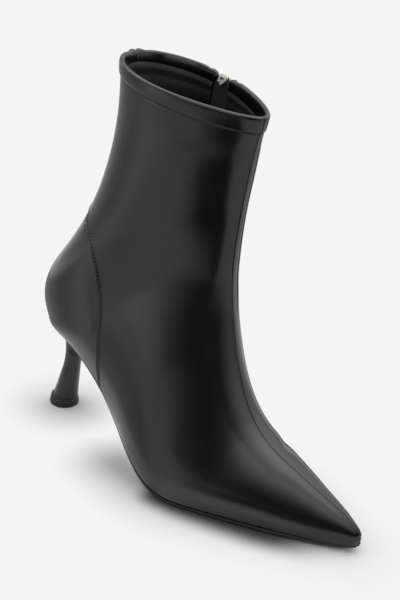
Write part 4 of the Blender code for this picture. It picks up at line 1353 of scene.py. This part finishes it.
def makeThreads(material):
    plan = threads["counter"]
    parts = []
    for side in (-1, 1):
        line = counterLine(side)
        lengths = arcLengths(line)
        places = np.arange(plan["pitch"], lengths[-1] - plan["endGap"], plan["pitch"])
        points = alongLine(line, places)
        runs = unit(np.gradient(points, axis=0))
        outs = surfaceNormals(points, side)
        inward = unit(np.cross(outs, runs))
        inward *= np.sign(inward[:, :1] * -1)
        centres = points + plan["inset"] * inward - plan["sink"] * outs
        parts.append((centres, unit(inward + plan["slant"] * runs), outs))
    centres, runs, outs = (np.concatenate(group) for group in zip(*parts))
    piece = capsuleRun("counterStitches", centres, runs, outs, plan["length"], plan["radius"])
    finishPiece(piece, material, "upper_leather")

    plan = threads["collar"]
    row = bandRow - zipRows(bandRow - 1, plan["drop"])
    points = aroundRim(np.array([row - threads["rowStep"], row, row + threads["rowStep"]]))[0]
    lengths = arcLengths(points[1])
    places = np.arange(plan["startGap"], lengths[-1] - plan["endGap"], plan["pitch"])
    line = alongLine(points[1], places)
    runs = unit(np.gradient(line, axis=0))
    ups = unit(alongLine(points[2], places * arcLengths(points[2])[-1] / lengths[-1]) - line)
    outs = unit(np.cross(runs, ups))
    outs *= np.sign(np.sum(outs * (line - line.mean(axis=0)), axis=-1))[:, None]
    centres = line - plan["sink"] * outs
    piece = capsuleRun("collarStitches", centres, runs, outs, plan["length"], plan["radius"])
    finishPiece(piece, material, "collar_leather")

    plan = threads["tape"]
    first = zipParts["coilFrom"]
    end = rimRow - zipRows(bandRow, zipParts["tapeBelowRim"] + plan["endGap"])
    parts = [zipPath(first, end, plan["pitch"], side * zipParts["stitchAcross"]) for side in (-1, 1)]
    centres, runs, outs = (np.concatenate(group) for group in zip(*parts))
    centres = centres - (zipParts["tapeSink"] - plan["rise"]) * outs
    piece = capsuleRun("zipStitches", centres, runs, outs, plan["length"], plan["radius"])
    finishPiece(piece, material, "zip_tape_cloth")


# other finishes
tapeCloth = {
    "mean": (0.006, 0.006, 0.0065, 1),
    "dark": (0.003, 0.003, 0.003, 1),
    "light": (0.011, 0.011, 0.012, 1),
    "warps": 14,
    "wefts": 230,
    "weftShift": 0.8,
    "fuzzScale": 2.5,       # in a mm
    "roughness": 0.68,
    "weaveRough": 0.1,
    "fuzzRough": 0.15,
    "weaveDepth": 0.07,     # mm
    "fuzzDepth": 0.05,      # mm
}


def clothMaterial(cloth):  # woven tape, its threads along and across the zip
    fixed = {"Base Color": cloth["mean"], "Roughness": cloth["roughness"]}
    material, shader, wire = newMaterial("wovenTape", fixed)
    place = wire.make("ShaderNodeUVMap", {"uv_map": "UVMap"})
    across = wire.make("ShaderNodeSeparateXYZ", {}, {"Vector": place}, "X")
    along = wire.make("ShaderNodeSeparateXYZ", {}, {"Vector": place}, "Y")
    warp = wire.maths("SINE", across * (2 * math.pi * cloth["warps"]))
    weft = wire.maths("SINE", along * (2 * math.pi * cloth["wefts"]) + warp * cloth["weftShift"])
    fuzz = noise(wire, objectPlace(wire, 1 / mm), cloth["fuzzScale"], 3.0)
    weave = warp * weft
    rough = cloth["roughness"] + cloth["weaveRough"] * weave + cloth["fuzzRough"] * (fuzz - 0.5)
    rough.feed(shader, "Roughness")
    feedColours(wire, shader, 0.5 + 0.5 * weave, cloth["dark"], cloth["light"])
    feedBump(wire, shader, weave * cloth["weaveDepth"] + fuzz * cloth["fuzzDepth"])
    return material


finishes = {         # colour, roughness and its spread, grain's size and depth in mm, metallic
    "lining": ((0.006, 0.006, 0.006), 0.5, 0.12, 0.5, 0.05, 0.0),
    "insole": ((0.010, 0.0095, 0.009), 0.55, 0.15, 0.6, 0.06, 0.0),
    "thread": ((0.022, 0.022, 0.023), 0.4, 0.15, 0.25, 0.05, 0.0),
    "coil": ((0.006, 0.006, 0.007), 0.38, 0.12, 0.4, 0.02, 0.0),
    "sole": ((0.007, 0.007, 0.007), 0.55, 0.2, 0.7, 0.04, 0.0),
    "tip": ((0.006, 0.006, 0.006), 0.6, 0.2, 0.5, 0.05, 0.0),
    "nickel": ((0.60, 0.58, 0.55), 0.26, 0.16, 0.8, 0.012, 1.0),
    "satinNickel": ((0.50, 0.48, 0.45), 0.36, 0.14, 0.8, 0.012, 1.0),
}
finishWear = {"cloudScale": 0.09, "cloud": 0.6, "fine": 0.4, "fineSpread": 0.6, "shades": (0.75, 1.25)}


def plainMaterial(name, finish):  # a colour that varies a little, a fine grain and faint wear
    hue, roughness, spreadOut, grain, depth, metallic = finish
    material, shader, wire = newMaterial(name, {"Metallic": metallic})
    place = objectPlace(wire, 1 / mm)
    fine = noise(wire, place, 1 / grain, 4.0, Roughness=0.6)
    cloud = noise(wire, place, finishWear["cloudScale"], 3.0)
    shade = finishWear["cloud"] * cloud + finishWear["fine"] * fine
    dark, light = (tuple(c * k for c in hue) + (1,) for k in finishWear["shades"])
    feedColours(wire, shader, shade, dark, light)
    rough = roughness + spreadOut * (cloud - 0.5) + finishWear["fineSpread"] * spreadOut * (fine - 0.5)
    rough.feed(shader, "Roughness")
    feedBump(wire, shader, fine * depth)
    return material


# camera at the photo's angle, rolled as it was held
camera = {
    "place": (350.1, -360.8, 306.9),
    "right": (0.8053, 0.5797, 0.1249),
    "up": (-0.3341, 0.2696, 0.9032),
    "lens": 54.5,
    "sensor": 36.0,
    "shiftX": -0.066,
    "nearest": 0.01,     # m
}


def makeCamera():
    data = bpy.data.cameras.new("camera")
    data.lens = camera["lens"]
    data.sensor_width = camera["sensor"]
    data.shift_x = camera["shiftX"]
    data.clip_start = camera["nearest"]
    viewer = bpy.data.objects.new("camera", data)
    bpy.context.scene.collection.objects.link(viewer)
    right = Vector(camera["right"]).normalized()
    up = Vector(camera["up"])
    up = (up - right * up.dot(right)).normalized()
    back = right.cross(up)
    turn = Matrix((right, up, back)).transposed().to_4x4()
    viewer.matrix_world = Matrix.Translation(toFrame(camera["place"])) @ turn
    bpy.context.scene.camera = viewer


studio = {
    "lights": (                # azimuth, elevation, reach, strength
        (50.0, 60.0, 75.0, 3.2),      # big soft light, behind the boot on the medial side
        (165.0, 50.0, 70.0, 0.7),     # weaker, behind the heel
        (-148.0, 55.0, 62.0, 2.0),    # on the lateral side, past the heel
        (-115.0, -12.0, 38.0, 1.0),   # low on the lateral side, seen in the ankle
    ),
    "darkAzimuth": -38.0,      # unlit room on the camera's side
    "darkInner": 20.0,
    "darkOuter": 62.0,
    "horizon": 0.44,           # lit paper all round the rest of the horizon
    "horizonLow": 0.20,        # heights of a direction between which the paper ends
    "horizonHigh": 0.47,
    "room": 0.025,
    "paper": 0.905,            # brightness of the paper behind, seen by the camera
    "floorColour": 0.4908,
    "floorRadius": 0.9,
    "floorLines": 181,
    "floorEven": 0.3,          # share of the lines' spacing that is even, the rest is closer at the boot
    "floorFade": (0.5, 0.98),
    "outlinePoints": 160,
    "tipPoints": 40,
    "shadeFromX": 70.0,
    "shadeNear": -3.0,         # mm from the boot's footprint, up to where the paper takes its full shadow
    "shadeReach": 40.0,
    "contactShadow": 0.9,            # painted shadow on the paper beside the lateral edge of the forefoot, wider towards the toe
    "contactX": (115.0, 165.0),
    "contactLead": 10.0,
    "contactNear": (-1.0, 2.0),
    "contactReach": (14.0, 17.0),
    "contactEnd": (170.0, 206.0),
}

# cards that only reflections see, dark ones as painted shade and bright ones as painted light, each between
# two edges in the last's millimetres
cards = (
    {"shade": "dark", "full": 0.97, "near": 0.12, "far": 0.3,          # floor towards the camera
     "left": ((126, -54, 1.5), (114, -96, 1.5), (126, -160, 1.5), (160, -280, 1.5), (200, -600, 1.5)),
     "right": ((290, -45, 1.5), (400, -150, 1.5), (500, -240, 1.5), (620, -370, 1.5), (780, -560, 1.5))},
    {"shade": "dark", "full": 0.6, "near": 0.12, "far": 0.3,           # floor behind the heel
     "left": ((-40, -70, 1.5), (-140, -170, 1.5), (-300, -300, 1.5)),
     "right": ((-55, 60, 1.5), (-160, 210, 1.5), (-300, 400, 1.5))},
    {"shade": "dark", "full": 0.4, "near": 0.12, "far": 0.5,           # floor on the lateral side
     "left": ((-60, -52, 1.2), (-120, -150, 1.2), (-160, -300, 1.2)),
     "right": ((115, -48, 1.2), (80, -130, 1.2), (20, -300, 1.2))},
    {"shade": "bright", "full": 0.26, "near": 0.12, "far": 0.3,        # floor close to the sole's edge
     "left": ((96, -33, 1.2), (125, -28, 1.2), (150, -20, 1.2), (175, -11, 1.2), (206, 2, 1.2)),
     "right": ((96, -75, 1.2), (130, -68, 1.2), (160, -56, 1.2), (185, -46, 1.2), (216, -34, 1.2))},
    {"shade": "dark", "full": 0.9, "near": 0.12, "far": 0.3,           # standing on the medial side
     "left": ((62, 100, 60), (70, 100, 90), (88, 100, 120), (106, 100, 165), (114, 100, 230)),
     "right": ((128, 100, 60), (132, 100, 90), (138, 100, 120), (140, 100, 165), (142, 100, 230))},
    {"shade": "dark", "full": 0.9, "near": 0.12, "far": 0.12,          # floor on the medial side
     "left": ((20, 150, 1.5), (70, 105, 1.5), (106, 76, 1.5), (150, 55, 1.5), (180, 36, 1.5),
              (206, 18, 1.5)),
     "right": ((20, 260, 1.5), (90, 190, 1.5), (140, 140, 1.5), (180, 100, 1.5), (210, 70, 1.5),
               (225, 40, 1.5))},
    {"shade": "bright", "full": 1.0, "near": 0.55, "far": 0.4,         # a soft light over the camera
     "left": ((47, -605, 108), (70, -473, 411), (114, -222, 589)),
     "right": ((708, -223, 108), (582, -177, 411), (343, -90, 589))},
)
cardShades = {
    "dark": {"Base Color": (0.01, 0.01, 0.01, 1)},
    "bright": {"Base Color": (0, 0, 0, 1), "Emission Color": (1, 1, 1, 1), "Emission Strength": 1.9},
}
cardShape = {"edge": 0.22, "points": 25}


def directionOf(azimuth, elevation):
    azimuth, elevation = math.radians(azimuth), math.radians(elevation)
    level = math.cos(elevation)
    return level * math.cos(azimuth), level * math.sin(azimuth), math.sin(elevation)


def awayFrom(wire, look, azimuth, elevation):  # angle between a direction of view and a set one
    sockets = {0: look, 1: directionOf(azimuth, elevation)}
    facing = wire.make("ShaderNodeVectorMath", {"operation": "DOT_PRODUCT"}, sockets, "Value")
    return wire.maths("ARCCOSINE", facing)


def softLight(wire, look, azimuth, elevation, reach):  # 1 in its own direction, 0 past its reach
    return 1 - rampUp(wire, awayFrom(wire, look, azimuth, elevation), 0.0, math.radians(reach))


def makeWorld():
    world = bpy.data.worlds.new("studio")
    bpy.context.scene.world = world
    world.use_nodes = True
    world.node_tree.nodes.clear()
    wire = Wire(world.node_tree)
    look = wire.make("ShaderNodeTexCoord", outlet="Generated")
    height = wire.make("ShaderNodeSeparateXYZ", {}, {"Vector": look}, "Z")
    level = wire.make("ShaderNodeVectorMath", {"operation": "MULTIPLY"}, {0: look, 1: (1, 1, 0)})
    level = wire.make("ShaderNodeVectorMath", {"operation": "NORMALIZE"}, {0: level})
    inner, outer = (math.radians(studio[name]) for name in ("darkInner", "darkOuter"))
    around = rampUp(wire, awayFrom(wire, level, studio["darkAzimuth"], 0.0), inner, outer)
    low = 1 - rampUp(wire, height, studio["horizonLow"], studio["horizonHigh"])
    light = around * low * studio["horizon"] + studio["room"]
    for azimuth, elevation, reach, strength in studio["lights"]:
        light = light + softLight(wire, look, azimuth, elevation, reach) * strength
    seen = wire.make("ShaderNodeLightPath", outlet="Is Camera Ray")
    strength = seen * studio["paper"] + (1 - seen) * light
    background = wire.make("ShaderNodeBackground", {}, {"Color": (1, 1, 1, 1), "Strength": strength})
    wire.make("ShaderNodeOutputWorld", {}, {"Surface": background})
    bpy.context.scene.view_settings.view_transform = "Standard"


def forefootEdge(side, fromX):  # the feather line from the toe back to fromX, as x and y
    end = np.interp(fromX, footEdge["edgeX"], footRows)
    rows = np.linspace(0, end, studio["outlinePoints"])
    return featherEdge(rows, side, np.zeros(len(rows)))


def footprint():  # the outline of the forefoot and of the heel tip, on the floor
    edges = [forefootEdge(side, studio["shadeFromX"]) for side in (-1, 1)]
    heelRound = aroundTip(tip["profile"][1][0], np.linspace(0, 2 * math.pi, studio["tipPoints"]))
    return np.concatenate(edges + [heelRound])


def makeFloor():  # paper that is lit near the boot and glows evenly farther out
    lines = np.linspace(-1, 1, studio["floorLines"])
    even = studio["floorEven"]
    lines = studio["floorRadius"] / mm * (even * lines + (1 - even) * lines ** 3)
    points = np.stack(np.meshgrid(lines, lines) + [np.zeros((len(lines), len(lines)))], axis=-1)
    points[..., :2] += -lastOrigin[:2] / mm
    floor, along, across = gridPiece("floor", toFrame(points))
    spots = points[..., :2].reshape(-1, 2)
    lit = 1 - eased((distanceTo(spots, footprint()) - studio["shadeNear"]) / studio["shadeReach"])
    # painted shadow on the paper beside the lateral edge of the forefoot, on both the lit and the glowing
    # paper
    beside = distanceTo(spots, forefootEdge(-1, studio["contactX"][0] - studio["contactLead"]))
    near = np.interp(spots[:, 0], studio["contactX"], studio["contactNear"])
    reach = np.interp(spots[:, 0], studio["contactX"], studio["contactReach"])
    first, final = studio["contactEnd"]
    ending = 1 - eased((spots[:, 0] - first) / (final - first))
    paintedShadowFactor = 1 - studio["contactShadow"] * ending * (1 - eased((beside - near) / reach))
    shape = points.shape[:2]
    paint(floor, "lit", (lit * paintedShadowFactor).reshape(shape)[along, across])
    paint(floor, "glow", ((1 - lit) * paintedShadowFactor).reshape(shape)[along, across])
    material, shader, wire = newMaterial("paperFloor", {
        "Roughness": 0.9, "Specular IOR Level": 0.0, "Emission Strength": 1.0,
    })
    for name, shade, socket in (("lit", "floorColour", "Base Color"), ("glow", "paper", "Emission Color")):
        full = (studio[shade], studio[shade], studio[shade], 1)
        feedColours(wire, shader, painted(wire, name), (0, 0, 0, 1), full, socket)
    place = wire.make("ShaderNodeTexCoord", outlet="Object")
    reach = wire.make("ShaderNodeVectorMath", {"operation": "LENGTH"}, {0: place}, "Value")
    start, stop = (share * studio["floorRadius"] for share in studio["floorFade"])
    fade = 1 - rampUp(wire, reach, start, stop)
    fade.feed(shader, "Alpha")
    floor.data.materials.append(material)


def makeCards():
    materials = {}
    for name, values in cardShades.items():
        materials[name], shader, wire = newMaterial(
            name + "Card", {"Roughness": 1.0, "Specular IOR Level": 0.0, **values},
        )
        painted(wire, "cover").feed(shader, "Alpha")
    share = np.linspace(0, 1, cardShape["points"])
    across = eased(share / cardShape["edge"]) * eased((1 - share) / cardShape["edge"])
    for plan in cards:
        along = eased(share / plan["near"]) * eased((1 - share) / plan["far"])
        left, right = (smoothLine(plan[name], len(share)) for name in ("left", "right"))
        points = (1 - share)[None, :, None] * left[:, None] + share[None, :, None] * right[:, None]
        card, row, column = gridPiece("card", toFrame(points))
        paint(card, "cover", plan["full"] * along[row] * across[column])
        card.data.materials.append(materials[plan["shade"]])
        for name in ("camera", "diffuse", "transmission", "volume_scatter", "shadow"):
            setattr(card, "visible_" + name, False)


makeCamera()
makeWorld()
makeFloor()
makeCards()
print("camera and studio set")
makeUpper(leatherMaterial("smoothLeather", leatherFinish, "seam"))
makeCollar(leatherMaterial("bandLeather", leatherFinish, "seam"))
makeLining(plainMaterial("liningCloth", finishes["lining"]))
print("leather done")
makeTape(clothMaterial(tapeCloth))
makeCoil(plainMaterial("coilNylon", finishes["coil"]))
makeSlider(plainMaterial("sliderNickel", finishes["satinNickel"]))
makePull(plainMaterial("pullNickel", finishes["nickel"]))
print("zip done")
makeInsole(plainMaterial("insoleLeather", finishes["insole"]))
makeOutsole(plainMaterial("soleRubber", finishes["sole"]))
makeHeel(leatherMaterial("heelLeather", leatherFinish))
makeTip(plainMaterial("tipRubber", finishes["tip"]))
print("sole and heel done")
makeThreads(plainMaterial("blackThread", finishes["thread"]))
print("threads done")
